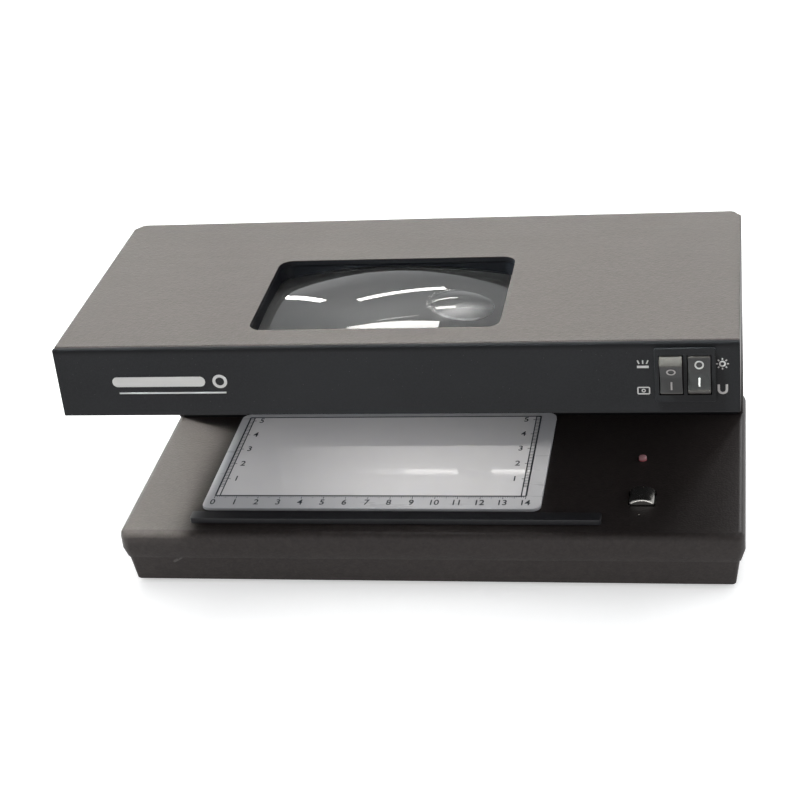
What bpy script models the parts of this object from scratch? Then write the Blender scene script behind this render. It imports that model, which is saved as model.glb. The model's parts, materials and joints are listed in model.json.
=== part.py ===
"""Desktop banknote and document tester: ultraviolet head over a lit base, in metres, +Z up.

The origin is at the middle of the footprint, on the surface that the feet stand on.
X is the width, and the front fascia faces -Y.
"""
import math

import bmesh
import bpy
from mathutils import Matrix, Vector

# ---------------------------------------------------------------- driving dimensions
COLLECTION = "document_tester"
GAP = 0.0003                 # clearance left between neighbouring pieces
WALL = 0.0022                # moulded wall thickness

HEAD_WIDTH = 0.270
HEAD_TOP = 0.1365
HEAD_HEIGHT = 0.030
HEAD_DEPTH = 0.124           # top face, fascia included
FASCIA_THICKNESS = 0.0025
HEAD_CORNER = 0.0045         # rear corners of the head, seen from above

BASE_WIDTH = 0.272           # across the skirt
BASE_FRONT = 0.0335          # skirt front, behind the fascia
BASE_REAR = 0.160
BASE_TOP = 0.029
SKIRT_FOOT = 0.0200          # lower end of the skirt's upright stretch
SEAM = 0.0150                # height of the joint between cover and tray
TRAY_BOTTOM = 0.002
FOOT_RADIUS = 0.006

COLUMN_FRONT_TOP = 0.1154    # inner panel, where it meets the head
COLUMN_FRONT_FOOT = 0.137    # inner panel, where it meets the base
COLUMN_REAR_FOOT = 0.155

WINDOW_X = (-0.0582, 0.0428)
WINDOW_Y = (0.0157, 0.0813)
WINDOW_CORNER = 0.0055
LENS_RADIUS = 0.232          # curvature of the lens's upper face
LENS_APEX = HEAD_TOP - 0.0005
LENS_BASE = HEAD_TOP - 0.0101
SPOT_PLACE = (0.025, 0.042)    # round high-power spot of the lens
SPOT_RADIUS = 0.0125
SPOT_RISE = 0.0011

SWITCH_X = 0.11455
SWITCH_Z = HEAD_TOP - 0.01315
SWITCH_BEZEL = (0.0229, 0.0229)
SWITCH_BODY = (0.0214, 0.0212)
SWITCH_PROUD = 0.0013        # bezel thickness in front of the fascia
ROCKER_SWING = math.radians(24.0)
ROCKER_WIDTH = 0.0086
ROCKER_PITCH = 0.01053
ROCKER_RADIUS = 0.00914      # tip of the rocker, from its pivot
ROCKER_FLUSH = 0.0046        # pivot to the face that lies flush
PIVOT_DEPTH = 0.0032         # pivot behind the fascia

PLATE_X = (-0.1022, 0.0492)
PLATE_Y = (0.0515, 0.1365)
PLATE_THICKNESS = 0.0015
APERTURE_X = (-0.0975, 0.0445)
APERTURE_Y = (0.058, 0.132)
RAIL_X = (-0.1045, 0.0758)
RAIL_Y = (0.0410, 0.0472)
RAIL_HEIGHT = 0.0026
MAGNETIC_X = 0.0922
MAGNETIC_Y = (0.0572, 0.0692)
MAGNETIC_WIDTH = 0.0108
LED_PLACE = (0.0908, 0.0965)
LED_RADIUS = 0.0017

TUBE_RADIUS = 0.00775        # T5 lamp glass
CAP_RADIUS = 0.0080
CAP_LENGTH = 0.0080
PIN_RADIUS = 0.00115
PIN_LENGTH = 0.0065
PIN_OFFSET = 0.00238
UV_GLASS = 0.196             # glass length of a 6 W lamp
UV_Z = 0.1180
UV_Y = (0.0935, 0.1110)
WHITE_GLASS = 0.120          # glass length of a 4 W lamp
WHITE_X = -0.0265
WHITE_Y = 0.095
WHITE_Z = 0.0152

TIP_ANGLE_FLUSH = math.acos(ROCKER_FLUSH / ROCKER_RADIUS)
TIP_REACH = ROCKER_RADIUS * math.cos(TIP_ANGLE_FLUSH - ROCKER_SWING)
ROCKER_PROUD = TIP_REACH - PIVOT_DEPTH
FASCIA_Y = -(BASE_REAR - ROCKER_PROUD) / 2
HALF = HEAD_WIDTH / 2
HEAD_UNDERSIDE = HEAD_TOP - HEAD_HEIGHT


def back(distance):
    """World Y of a place that lies `distance` behind the front of the fascia."""
    return FASCIA_Y + distance


# ---------------------------------------------------------------- scene and materials
def clear_scene():
    for item in list(bpy.data.objects):
        bpy.data.objects.remove(item, do_unlink=True)


clear_scene()
parts = bpy.data.collections.new(COLLECTION)
tools = bpy.data.collections.new("cutters")
bpy.context.scene.collection.children.link(parts)
bpy.context.scene.collection.children.link(tools)


def material(name, colour, roughness, metallic=0.0, transmission=0.0):
    made = bpy.data.materials.new(name)
    made.use_nodes = True
    shader = made.node_tree.nodes["Principled BSDF"]
    shader.inputs["Base Color"].default_value = (*colour, 1.0)
    shader.inputs["Roughness"].default_value = roughness
    shader.inputs["Metallic"].default_value = metallic
    shader.inputs["Transmission Weight"].default_value = transmission
    made.diffuse_color = (*colour, 1.0)
    return made


HOUSING = (0.055, 0.052, 0.050)
BLACK = (0.022, 0.022, 0.024)
NICKEL = (0.72, 0.70, 0.67)
WHITE = (0.80, 0.80, 0.79)
LACQUER_GREEN = (0.03, 0.16, 0.07)


# ---------------------------------------------------------------- shape helpers
def new_object(name, mesh):
    made = bpy.data.objects.new(name, mesh)
    parts.objects.link(made)
    return made


def as_cutter(item):
    """Moves a shape to the cutters, where it only serves as a Boolean operand."""
    for owner in list(item.users_collection):
        owner.objects.unlink(item)
    tools.objects.link(item)
    item.hide_render = True
    item.display_type = "WIRE"
    return item


def paint(item, colour, roughness, metallic=0.0, transmission=0.0):
    item.data.materials.append(material(item.name, colour, roughness, metallic, transmission))
    return item


def box(name, low, high):
    size = Vector(high) - Vector(low)
    middle = (Vector(high) + Vector(low)) / 2
    shape = bmesh.new()
    bmesh.ops.create_cube(shape, size=1.0)
    bmesh.ops.scale(shape, vec=size, verts=shape.verts)
    mesh = bpy.data.meshes.new(name)
    shape.to_mesh(mesh)
    shape.free()
    made = new_object(name, mesh)
    made.location = middle
    return made


def cylinder(name, radius, length, centre, axis="Z", sides=24):
    shape = bmesh.new()
    bmesh.ops.create_cone(
        shape, cap_ends=True, segments=sides, radius1=radius, radius2=radius, depth=length
    )
    mesh = bpy.data.meshes.new(name)
    shape.to_mesh(mesh)
    shape.free()
    mesh.shade_smooth()
    mesh.set_sharp_from_angle(angle=math.radians(40))
    made = new_object(name, mesh)
    made.location = centre
    if axis == "X":
        made.rotation_euler.y = math.pi / 2
    if axis == "Y":
        made.rotation_euler.x = math.pi / 2
    return made


def rounded_rectangle(x_span, y_span, radius, steps=5):
    """Outline of a rectangle with round corners, anticlockwise from its lower right corner."""
    corners = (
        (x_span[1] - radius, y_span[0] + radius, -90),
        (x_span[1] - radius, y_span[1] - radius, 0),
        (x_span[0] + radius, y_span[1] - radius, 90),
        (x_span[0] + radius, y_span[0] + radius, 180),
    )
    outline = []
    for x, y, start in corners:
        for step in range(steps + 1):
            angle = math.radians(start + 90 * step / steps)
            outline.append((x + radius * math.cos(angle), y + radius * math.sin(angle)))
    return outline


def grown(span, amount):
    return (span[0] - amount, span[1] + amount)


def solid_from_outline(name, outline, low, high):
    """Flat outline in XY made solid between two heights, by way of a filled 2D curve."""
    curve = bpy.data.curves.new(name, "CURVE")
    curve.dimensions = "2D"
    curve.fill_mode = "BOTH"
    curve.extrude = (high - low) / 2
    spline = curve.splines.new("POLY")
    spline.points.add(len(outline) - 1)
    for point, place in zip(spline.points, outline):
        point.co = (place[0], place[1], 0.0, 1.0)
    spline.use_cyclic_u = True
    guide = new_object(name + "_outline", curve)
    bpy.context.view_layer.update()
    evaluated = guide.evaluated_get(bpy.context.evaluated_depsgraph_get())
    mesh = bpy.data.meshes.new_from_object(evaluated)
    bpy.data.objects.remove(guide, do_unlink=True)
    shape = bmesh.new()
    shape.from_mesh(mesh)
    bmesh.ops.remove_doubles(shape, verts=shape.verts, dist=0.00001)
    bmesh.ops.recalc_face_normals(shape, faces=shape.faces)
    bmesh.ops.translate(shape, vec=(0.0, 0.0, (low + high) / 2), verts=shape.verts)
    shape.to_mesh(mesh)
    shape.free()
    mesh.name = name
    return new_object(name, mesh)


def side_profile(name, outline, x_low, x_high):
    """Outline given as (Y, Z) made solid across X."""
    made = solid_from_outline(name, outline, x_low, x_high)
    made.data.transform(Matrix(((0, 0, 1, 0), (1, 0, 0, 0), (0, 1, 0, 0), (0, 0, 0, 1))))
    return made


def front_profile(name, outline, y_low, y_high):
    """Outline given as (X, Z) made solid across Y."""
    made = solid_from_outline(name, outline, -y_high, -y_low)
    made.data.transform(Matrix(((1, 0, 0, 0), (0, 0, -1, 0), (0, 1, 0, 0), (0, 0, 0, 1))))
    return made


def plate(name, x_span, y_span, radius, low, high, steps=5):
    return solid_from_outline(name, rounded_rectangle(x_span, y_span, radius, steps), low, high)


def lofted(name, x_span, y_span, radius, levels):
    """Rounded rectangles at rising heights, each drawn in by its inset, joined into a solid."""
    shape = bmesh.new()
    rings = []
    for height, inset in levels:
        corner = max(radius - inset, 0.001)
        outline = rounded_rectangle(grown(x_span, -inset), grown(y_span, -inset), corner, 3)
        rings.append([shape.verts.new((x, y, height)) for x, y in outline])
    for lower, upper in zip(rings, rings[1:]):
        count = len(lower)
        for i in range(count):
            j = (i + 1) % count
            shape.faces.new((lower[i], lower[j], upper[j], upper[i]))
    shape.faces.new(tuple(reversed(rings[0])))
    shape.faces.new(rings[-1])
    mesh = bpy.data.meshes.new(name)
    shape.to_mesh(mesh)
    shape.free()
    return new_object(name, mesh)


def turned(name, profile, centre, steps=24):
    """Profile of (radius, height) points, top to bottom, turned round a vertical axis."""
    mesh = bpy.data.meshes.new(name)
    edges = [(i, i + 1) for i in range(len(profile) - 1)]
    mesh.from_pydata([(radius, 0.0, height) for radius, height in profile], edges, [])
    made = new_object(name, mesh)
    screw = made.modifiers.new("turn", "SCREW")
    screw.angle = math.tau
    screw.steps = steps
    screw.render_steps = steps
    screw.use_merge_vertices = True
    screw.merge_threshold = 0.00001
    screw.use_smooth_shade = True
    made.location = centre
    return made


def settled(item):
    """Applies an object's modifiers, so that it can be cut or joined cleanly."""
    bpy.context.view_layer.update()
    evaluated = item.evaluated_get(bpy.context.evaluated_depsgraph_get())
    mesh = bpy.data.meshes.new_from_object(evaluated)
    item.modifiers.clear()
    item.data = mesh
    return item


def rounded(item, width, segments=2, angle=40.0):
    bevel = item.modifiers.new("round_edges", "BEVEL")
    bevel.width = width
    bevel.segments = segments
    bevel.limit_method = "ANGLE"
    bevel.angle_limit = math.radians(angle)
    return item


def boolean(item, operand, operation):
    as_cutter(operand)
    modifier = item.modifiers.new(operation.lower(), "BOOLEAN")
    modifier.operation = operation
    modifier.solver = "EXACT"
    modifier.object = operand
    return item


def cut(item, *operands):
    for operand in operands:
        boolean(item, operand, "DIFFERENCE")
    return item


def join(item, *operands):
    for operand in operands:
        boolean(item, operand, "UNION")
    return item


# ---------------------------------------------------------------- base
BASE_X = (-BASE_WIDTH / 2, BASE_WIDTH / 2)
BASE_Y = (back(BASE_FRONT), back(BASE_REAR))
BASE_CORNER = 0.0045
EDGE_ROUND = 0.003
SKIRT_WALL = 0.0038
DECK_UNDERSIDE = BASE_TOP - WALL
SCREW_PLACES = [(x, back(y)) for x in (-0.122, 0.122) for y in (0.046, 0.1475)]
FOOT_PLACES = [(x, back(y)) for x in (-0.104, 0.104) for y in (0.053, 0.141)]
COLUMN_SCREWS = [(x, back(0.1455)) for x in (-0.108, 0.108)]
HEAD_SCREWS = [(x, back(0.0600)) for x in (-0.122, 0.122)]
POST_RADIUS = 0.0038
POST_FOOT = 0.0140                # lower end of the cover's screw posts
TRAY_POST_RADIUS = 0.0044
TRAY_POST_TOP = 0.0136
PILOT_RADIUS = 0.0014
SHANK_RADIUS = 0.0011
CLEARANCE_RADIUS = 0.0016         # hole that a screw's shank passes through
TRAY_RIM_TOP = SEAM + 0.003
TRAY_FLOOR = 0.004
SLOT_CLEARANCE = 0.0005           # round the magnetic head
CABLE_SLOT_X = (-0.020, 0.020)
CABLE_SLOT_Y = (0.1425, 0.1505)
INLET_Z = 0.0155
INLET_FLANGE = (0.0122, 0.0072)   # half width and half height
INLET_BODY = (0.0108, 0.0053)
INLET_SOCKET = (0.0092, 0.0043)
INLET_PIN_X = 0.0043
INLET_PIN_RADIUS = 0.0012
INLET_PAD_X = (-0.016, 0.016)
INLET_PAD_Z = (0.0045, 0.0245)
INLET_PAD_REAR = BASE_REAR - 0.0014


def base_top_cover():
    levels = [(SEAM + GAP / 2, 0.0016), (SKIRT_FOOT, 0.0), (BASE_TOP - EDGE_ROUND, 0.0)]
    for step in range(1, 5):
        angle = math.pi / 2 * step / 4
        rise = EDGE_ROUND * math.sin(angle)
        levels.append((BASE_TOP - EDGE_ROUND + rise, EDGE_ROUND * (1 - math.cos(angle))))
    cover = lofted("base_top_cover", BASE_X, BASE_Y, BASE_CORNER, levels)
    hollow_x = grown(BASE_X, -SKIRT_WALL)
    hollow_y = grown(BASE_Y, -SKIRT_WALL)
    cut(cover, plate("base_hollow", hollow_x, hollow_y, 0.002, 0.010, DECK_UNDERSIDE, 2))
    aperture_y = (back(APERTURE_Y[0]), back(APERTURE_Y[1]))
    cut(cover, plate("light_aperture", APERTURE_X, aperture_y, 0.002, 0.020, 0.040, 2))
    head_x = grown((MAGNETIC_X, MAGNETIC_X), MAGNETIC_WIDTH / 2 + SLOT_CLEARANCE)
    head_y = grown((back(MAGNETIC_Y[0]), back(MAGNETIC_Y[1])), SLOT_CLEARANCE)
    cut(cover, plate("magnetic_slot", head_x, head_y, 0.0008, 0.020, 0.040, 2))
    led_centre = (LED_PLACE[0], back(LED_PLACE[1]), 0.030)
    cut(cover, cylinder("led_hole", LED_RADIUS + GAP, 0.02, led_centre, sides=16))
    cable_y = (back(CABLE_SLOT_Y[0]), back(CABLE_SLOT_Y[1]))
    cut(cover, plate("cable_slot", CABLE_SLOT_X, cable_y, 0.003, 0.020, 0.040, 3))
    for number, (x, y) in enumerate(COLUMN_SCREWS):
        hole = cylinder(f"column_screw_hole_{number}", CLEARANCE_RADIUS, 0.02, (x, y, 0.028), sides=16)
        cut(cover, hole)
    post_top = DECK_UNDERSIDE + WALL / 2
    for number, (x, y) in enumerate(SCREW_PLACES):
        middle = (x, y, (POST_FOOT + post_top) / 2)
        height = post_top - POST_FOOT
        join(cover, cylinder(f"cover_post_{number}", POST_RADIUS, height, middle, sides=16))
    for number, (x, y) in enumerate(SCREW_PLACES):
        cut(cover, cylinder(f"cover_pilot_{number}", PILOT_RADIUS, 0.020, (x, y, 0.015), sides=12))
    notch_x = grown(INLET_PAD_X, GAP)
    notch_low = (notch_x[0], back(BASE_REAR - 0.006), 0.008)
    notch_high = (notch_x[1], back(BASE_REAR + 0.002), INLET_PAD_Z[1] + GAP)
    cut(cover, box("inlet_notch", notch_low, notch_high))
    return paint(cover, HOUSING, 0.5)


def inlet_spans(half_size, clearance=0.0):
    """X and Z spans of a shape centred on the mains inlet."""
    middle_x, middle_z = (0.0, 0.0), (INLET_Z, INLET_Z)
    return grown(middle_x, half_size[0] + clearance), grown(middle_z, half_size[1] + clearance)


def base_tray():
    spigot = SKIRT_WALL + GAP
    wall = 0.002
    levels = [(TRAY_BOTTOM, 0.0046), (TRAY_BOTTOM + 0.0008, 0.0040), (SEAM - GAP / 2, 0.0023)]
    tray = lofted("base_tray", BASE_X, BASE_Y, BASE_CORNER, levels)
    rim_x, rim_y = grown(BASE_X, -spigot), grown(BASE_Y, -spigot)
    join(tray, plate("tray_rim", rim_x, rim_y, 0.002, 0.008, TRAY_RIM_TOP, 2))
    hollow_x, hollow_y = grown(rim_x, -wall), grown(rim_y, -wall)
    cut(tray, plate("tray_hollow", hollow_x, hollow_y, 0.002, TRAY_FLOOR, 0.020, 2))
    pad_low = (INLET_PAD_X[0], back(BASE_REAR - 0.0055), INLET_PAD_Z[0])
    pad_high = (INLET_PAD_X[1], back(INLET_PAD_REAR), INLET_PAD_Z[1])
    join(tray, box("inlet_pad", pad_low, pad_high))
    throat = rounded_rectangle(*inlet_spans(INLET_BODY, GAP), 0.0045)
    cut(tray, front_profile("inlet_throat", throat, back(0.150), back(0.165)))
    post_foot = TRAY_FLOOR - 0.0006
    for number, (x, y) in enumerate(SCREW_PLACES):
        middle = (x, y, (post_foot + TRAY_POST_TOP) / 2)
        height = TRAY_POST_TOP - post_foot
        join(tray, cylinder(f"tray_post_{number}", TRAY_POST_RADIUS, height, middle, sides=16))
    for number, (x, y) in enumerate(SCREW_PLACES):
        hole = cylinder(f"tray_hole_{number}", CLEARANCE_RADIUS, 0.030, (x, y, 0.010), sides=16)
        recess = cylinder(f"tray_recess_{number}", 0.0032, 0.0045, (x, y, 0.00235), sides=20)
        cut(tray, hole, recess)
    for number, (x, y) in enumerate(FOOT_PLACES):
        recess = cylinder(f"foot_recess_{number}", FOOT_RADIUS + GAP, 0.0018, (x, y, 0.0019))
        cut(tray, recess)
    return paint(tray, HOUSING, 0.5)


def feet():
    names = ("foot_front_left", "foot_rear_left", "foot_front_right", "foot_rear_right")
    for name, (x, y) in zip(names, FOOT_PLACES):
        top = 0.0025
        profile = [(0.0, top), (FOOT_RADIUS, top), (FOOT_RADIUS, 0.0008), (0.0052, 0.0), (0.0, 0.0)]
        paint(turned(name, profile, (x, y, 0.0)), BLACK, 0.8)


def screw(name, place, head_low, head_high, shank_top, head_radius=0.0028):
    """Screw driven upwards: head below, plain shank above."""
    profile = [
        (0.0, shank_top),
        (SHANK_RADIUS * 0.6, shank_top),
        (SHANK_RADIUS, shank_top - 0.001),
        (SHANK_RADIUS, head_high),
        (head_radius, head_high),
        (head_radius, head_low + 0.0004),
        (head_radius - 0.0004, head_low),
        (0.0, head_low),
    ]
    made = turned(name, profile, (*place, 0.0), 16)
    settled(made)
    for turn in range(2):
        slot = box(f"{name}_slot_{turn}", (-0.0018, -0.0004, -0.001), (0.0018, 0.0004, 0.0008))
        slot.location = (place[0], place[1], head_low)
        slot.rotation_euler.z = turn * math.pi / 2
        cut(made, slot)
    return paint(made, NICKEL, 0.35, 1.0)


def screws():
    for number, place in enumerate(SCREW_PLACES, 1):
        screw(f"base_screw_{number}", place, 0.0024, 0.0042, 0.0215)
    for name, place in zip(("column_screw_left", "column_screw_right"), COLUMN_SCREWS):
        screw(name, place, DECK_UNDERSIDE - 0.0023, DECK_UNDERSIDE - GAP, 0.0375)
    for name, place in zip(("head_screw_left", "head_screw_right"), HEAD_SCREWS):
        screw(name, place, HEAD_UNDERSIDE - 0.0018, HEAD_UNDERSIDE - GAP, HEAD_UNDERSIDE + 0.0125)


def light_plate():
    y_span = (back(PLATE_Y[0]), back(PLATE_Y[1]))
    low = BASE_TOP + GAP
    sheet = plate("light_plate", PLATE_X, y_span, 0.004, low, low + PLATE_THICKNESS)
    rounded(sheet, 0.0003, 1)
    return paint(sheet, (0.62, 0.63, 0.65), 0.35, 0.0, 0.2)


def stop_rail():
    y_span = (back(RAIL_Y[0]), back(RAIL_Y[1]))
    low = BASE_TOP + GAP
    rail = plate("stop_rail", RAIL_X, y_span, 0.0012, low, low + RAIL_HEIGHT, 3)
    rounded(rail, 0.0009, 2, 50)
    return paint(rail, BLACK, 0.45)


def magnetic_sensor():
    """Recording head with an arched nose, its bracket, amplifier board and buzzer."""
    half = MAGNETIC_WIDTH / 2
    shoulder = BASE_TOP + 0.0008
    crown = BASE_TOP + 0.0034
    rise = crown - shoulder
    radius = (half * half + rise * rise) / (2 * rise)
    sweep = math.asin(half / radius)
    outline = [(MAGNETIC_X - half, 0.016), (MAGNETIC_X + half, 0.016)]
    for step in range(13):
        angle = sweep - 2 * sweep * step / 12
        x = MAGNETIC_X + radius * math.sin(angle)
        outline.append((x, crown - radius + radius * math.cos(angle)))
    y_low, y_high = back(MAGNETIC_Y[0]), back(MAGNETIC_Y[1])
    nose = front_profile("magnetic_head", outline, y_low, y_high)
    paint(nose, NICKEL, 0.2, 1.0)

    bracket = box(
        "magnetic_bracket",
        (MAGNETIC_X - 0.011, y_low - 0.004, 0.0135),
        (MAGNETIC_X + 0.011, y_high + 0.004, 0.0245),
    )
    seat_low = (MAGNETIC_X - half - GAP, y_low - GAP, 0.0157)
    seat_high = (MAGNETIC_X + half + GAP, y_high + GAP, 0.030)
    cut(bracket, box("bracket_seat", seat_low, seat_high))
    paint(bracket, WHITE, 0.5)

    board = box("amplifier_board", (0.070, back(0.055), 0.0085), (0.112, back(0.106), 0.0100))
    paint(board, LACQUER_GREEN, 0.4)
    sounder = [(0.0, 0.0185), (0.0050, 0.0185), (0.0055, 0.0180), (0.0055, 0.0103), (0.0, 0.0103)]
    paint(turned("buzzer", sounder, (0.102, back(0.094), 0.0)), BLACK, 0.5)

    top = BASE_TOP + 0.0014
    bulb = [(0.0, top)]
    for step in range(1, 5):
        angle = math.pi / 2 * step / 4
        bulb.append((LED_RADIUS * math.sin(angle), top - LED_RADIUS * (1 - math.cos(angle))))
    flange = DECK_UNDERSIDE - GAP
    bulb += [(LED_RADIUS, flange), (0.0021, flange), (0.0021, flange - 0.0009)]
    bulb += [(LED_RADIUS, flange - 0.0012), (LED_RADIUS, 0.0215), (0.0, 0.0215)]
    led = turned("status_led", bulb, (LED_PLACE[0], back(LED_PLACE[1]), 0.0), 20)
    paint(led, (0.45, 0.05, 0.06), 0.25, 0.0, 0.4)


def lamp(name, x, y, z, glass_length):
    """Fluorescent lamp along X: a glass tube and two pinned end caps."""
    glass = cylinder(name, TUBE_RADIUS, glass_length, (x, y, z), "X")
    paint(glass, (0.85, 0.86, 0.90), 0.2)
    for side, label in ((-1, "left"), (1, "right")):
        start = glass_length / 2 + GAP
        centre = x + side * (start + CAP_LENGTH / 2)
        cap = cylinder(f"{name}_cap_{label}", CAP_RADIUS, CAP_LENGTH, (centre, y, z), "X")
        reach = x + side * (start + CAP_LENGTH + PIN_LENGTH / 2 - 0.0005)
        for number, offset in enumerate((-PIN_OFFSET, PIN_OFFSET)):
            pin_name = f"{name}_pin_{label}_{number}"
            place = (reach, y + offset, z)
            join(cap, cylinder(pin_name, PIN_RADIUS, PIN_LENGTH + 0.001, place, "X", 10))
        paint(cap, NICKEL, 0.3, 1.0)


def lampholder(name, inner_x, side, lamp_places, y_span, z_span):
    """Block that takes the pins of the lamps whose ends it faces."""
    thickness = 0.0105
    outer_x = inner_x + side * thickness
    low = (min(inner_x, outer_x), y_span[0], z_span[0])
    high = (max(inner_x, outer_x), y_span[1], z_span[1])
    block = rounded(box(name, low, high), 0.0008, 1)
    for number, (y, z) in enumerate(lamp_places):
        for pin, offset in enumerate((-PIN_OFFSET, PIN_OFFSET)):
            centre = (inner_x + side * (PIN_LENGTH + 0.001) / 2, y + offset, z)
            length = PIN_LENGTH + 0.003
            hole = cylinder(f"{name}_hole_{number}_{pin}", PIN_RADIUS + 0.0004, length, centre, "X", 12)
            cut(block, hole)
    return paint(block, WHITE, 0.45)


def folded_sheet(name, outline, x_low, x_high, thickness):
    """Sheet bent along X: an open (Y, Z) line swept sideways and given a thickness."""
    shape = bmesh.new()
    left = [shape.verts.new((x_low, y, z)) for y, z in outline]
    right = [shape.verts.new((x_high, y, z)) for y, z in outline]
    for i in range(len(outline) - 1):
        shape.faces.new((left[i], left[i + 1], right[i + 1], right[i]))
    mesh = bpy.data.meshes.new(name)
    shape.to_mesh(mesh)
    shape.free()
    made = new_object(name, mesh)
    solid = made.modifiers.new("thickness", "SOLIDIFY")
    solid.thickness = thickness
    solid.offset = 0.0
    solid.use_even_offset = True
    return paint(made, WHITE, 0.3)


def lamp_end(glass_length):
    """Distance from the middle of a lamp to the face of its holder."""
    return glass_length / 2 + GAP + CAP_LENGTH + GAP


def watermark_light():
    y = back(WHITE_Y)
    lamp("white_tube", WHITE_X, y, WHITE_Z, WHITE_GLASS)
    reach = lamp_end(WHITE_GLASS)
    for side, label in ((-1, "left"), (1, "right")):
        lampholder(
            f"white_lampholder_{label}",
            WHITE_X + side * reach,
            side,
            [(y, WHITE_Z)],
            (y - 0.0095, y + 0.0095),
            (0.0043, 0.0245),
        )
    outline = [
        (y - 0.033, 0.0245),
        (y - 0.020, 0.0062),
        (y + 0.020, 0.0062),
        (y + 0.033, 0.0245),
    ]
    half = reach - CAP_LENGTH - 0.002
    folded_sheet("white_reflector", outline, WHITE_X - half, WHITE_X + half, 0.0006)


def power_supply():
    board = box("power_board", (0.052, back(0.112), 0.0060), (0.118, back(0.1355), 0.0076))
    paint(board, LACQUER_GREEN, 0.4)
    core_low = (0.058, back(0.1145), 0.0079)
    core_high = (0.082, back(0.1335), 0.0240)
    paint(rounded(box("supply_transformer", core_low, core_high), 0.001, 1), (0.5, 0.42, 0.1), 0.5)
    can = [(0.0, 0.0225), (0.0045, 0.0225), (0.0050, 0.0220), (0.0050, 0.0079), (0.0, 0.0079)]
    paint(turned("supply_capacitor", can, (0.094, back(0.124), 0.0)), (0.02, 0.03, 0.08), 0.4)


def mains_inlet():
    rear = back(BASE_REAR)
    flange = rounded_rectangle(*inlet_spans(INLET_FLANGE), 0.004)
    inlet = front_profile("mains_inlet", flange, back(INLET_PAD_REAR) + GAP, rear)
    body = rounded_rectangle(*inlet_spans(INLET_BODY), 0.0045)
    join(inlet, front_profile("inlet_body", body, rear - 0.016, rear - 0.0005))
    socket = rounded_rectangle(*inlet_spans(INLET_SOCKET), 0.0042)
    cut(inlet, front_profile("inlet_socket", socket, rear - 0.013, rear + 0.005))
    for number, x in enumerate((-INLET_PIN_X, INLET_PIN_X)):
        place = (x, rear - 0.014, INLET_Z)
        cut(inlet, cylinder(f"inlet_pin_hole_{number}", INLET_PIN_RADIUS + GAP, 0.012, place, "Y", 12))
    paint(inlet, BLACK, 0.4)
    for label, x in (("left", -INLET_PIN_X), ("right", INLET_PIN_X)):
        place = (x, rear - 0.0115, INLET_Z)
        pin = cylinder(f"inlet_pin_{label}", INLET_PIN_RADIUS, 0.0165, place, "Y", 12)
        paint(pin, NICKEL, 0.25, 1.0)


# ---------------------------------------------------------------- head and column
PANEL_THICKNESS = 0.0021
SHELL_FOOT = BASE_TOP + GAP
COLUMN_POST_HEIGHT = 0.0105
VENT_PLACES = [0.0075 * step for step in range(-8, 9)]
VENT_WIDTH = 0.0026
VENT_Z = (0.098, 0.122)


def upper_shell():
    """Top, sides and leaning rear wall of the head and column, open at the front and below."""
    front = back(FASCIA_THICKNESS + GAP)
    outline = [
        (front, HEAD_TOP),
        (front, HEAD_UNDERSIDE),
        (back(COLUMN_FRONT_TOP), HEAD_UNDERSIDE),
        (back(COLUMN_FRONT_FOOT), SHELL_FOOT),
        (back(COLUMN_REAR_FOOT), SHELL_FOOT),
        (back(HEAD_DEPTH), HEAD_TOP),
    ]
    shell = side_profile("upper_shell", outline, -HALF, HALF)
    round_rear_corners(shell.data)
    rounded(shell, 0.0007, 2, 50)
    lean = (COLUMN_REAR_FOOT - HEAD_DEPTH) / (HEAD_TOP - SHELL_FOOT)
    ceiling = HEAD_TOP - WALL
    floor = 0.020
    rear_top = back(HEAD_DEPTH) - 0.0023 + lean * WALL
    rear_foot = rear_top + lean * (ceiling - floor)
    hollow = [
        (back(-0.01), ceiling),
        (back(-0.01), 0.100),
        (back(0.095), 0.100),
        (back(0.120), floor),
        (rear_foot, floor),
        (rear_top, ceiling),
    ]
    cut(shell, side_profile("shell_hollow", hollow, -HALF + WALL, HALF - WALL))
    window_y = (back(WINDOW_Y[0]), back(WINDOW_Y[1]))
    cut(shell, plate("window", WINDOW_X, window_y, WINDOW_CORNER, 0.125, 0.150))
    for number, x in enumerate(VENT_PLACES):
        low = (x - VENT_WIDTH / 2, back(0.115), VENT_Z[0])
        high = (x + VENT_WIDTH / 2, back(0.150), VENT_Z[1])
        cut(shell, box(f"vent_{number}", low, high))
    for number, (x, y) in enumerate(COLUMN_SCREWS):
        place = (x, y, SHELL_FOOT + COLUMN_POST_HEIGHT / 2)
        join(shell, cylinder(f"column_post_{number}", 0.0040, COLUMN_POST_HEIGHT, place, sides=16))
        lug_low = (x - 0.0025, y, SHELL_FOOT)
        lug_high = (x + 0.0025, back(COLUMN_REAR_FOOT - 0.0045), SHELL_FOOT + 0.0100)
        join(shell, box(f"column_lug_{number}", lug_low, lug_high))
    for number, (x, y) in enumerate(HEAD_SCREWS):
        low = HEAD_UNDERSIDE + WALL + GAP
        height = HEAD_TOP - WALL / 2 - low
        post = cylinder(f"head_post_{number}", POST_RADIUS, height, (x, y, low + height / 2), sides=16)
        join(shell, post)
    for number, (x, y) in enumerate(COLUMN_SCREWS):
        place = (x, y, SHELL_FOOT)
        cut(shell, cylinder(f"column_pilot_{number}", PILOT_RADIUS, 0.019, place, sides=12))
    for number, (x, y) in enumerate(HEAD_SCREWS):
        place = (x, y, HEAD_UNDERSIDE + WALL)
        cut(shell, cylinder(f"head_pilot_{number}", PILOT_RADIUS, 0.024, place, sides=12))
    return paint(shell, HOUSING, 0.5)


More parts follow.
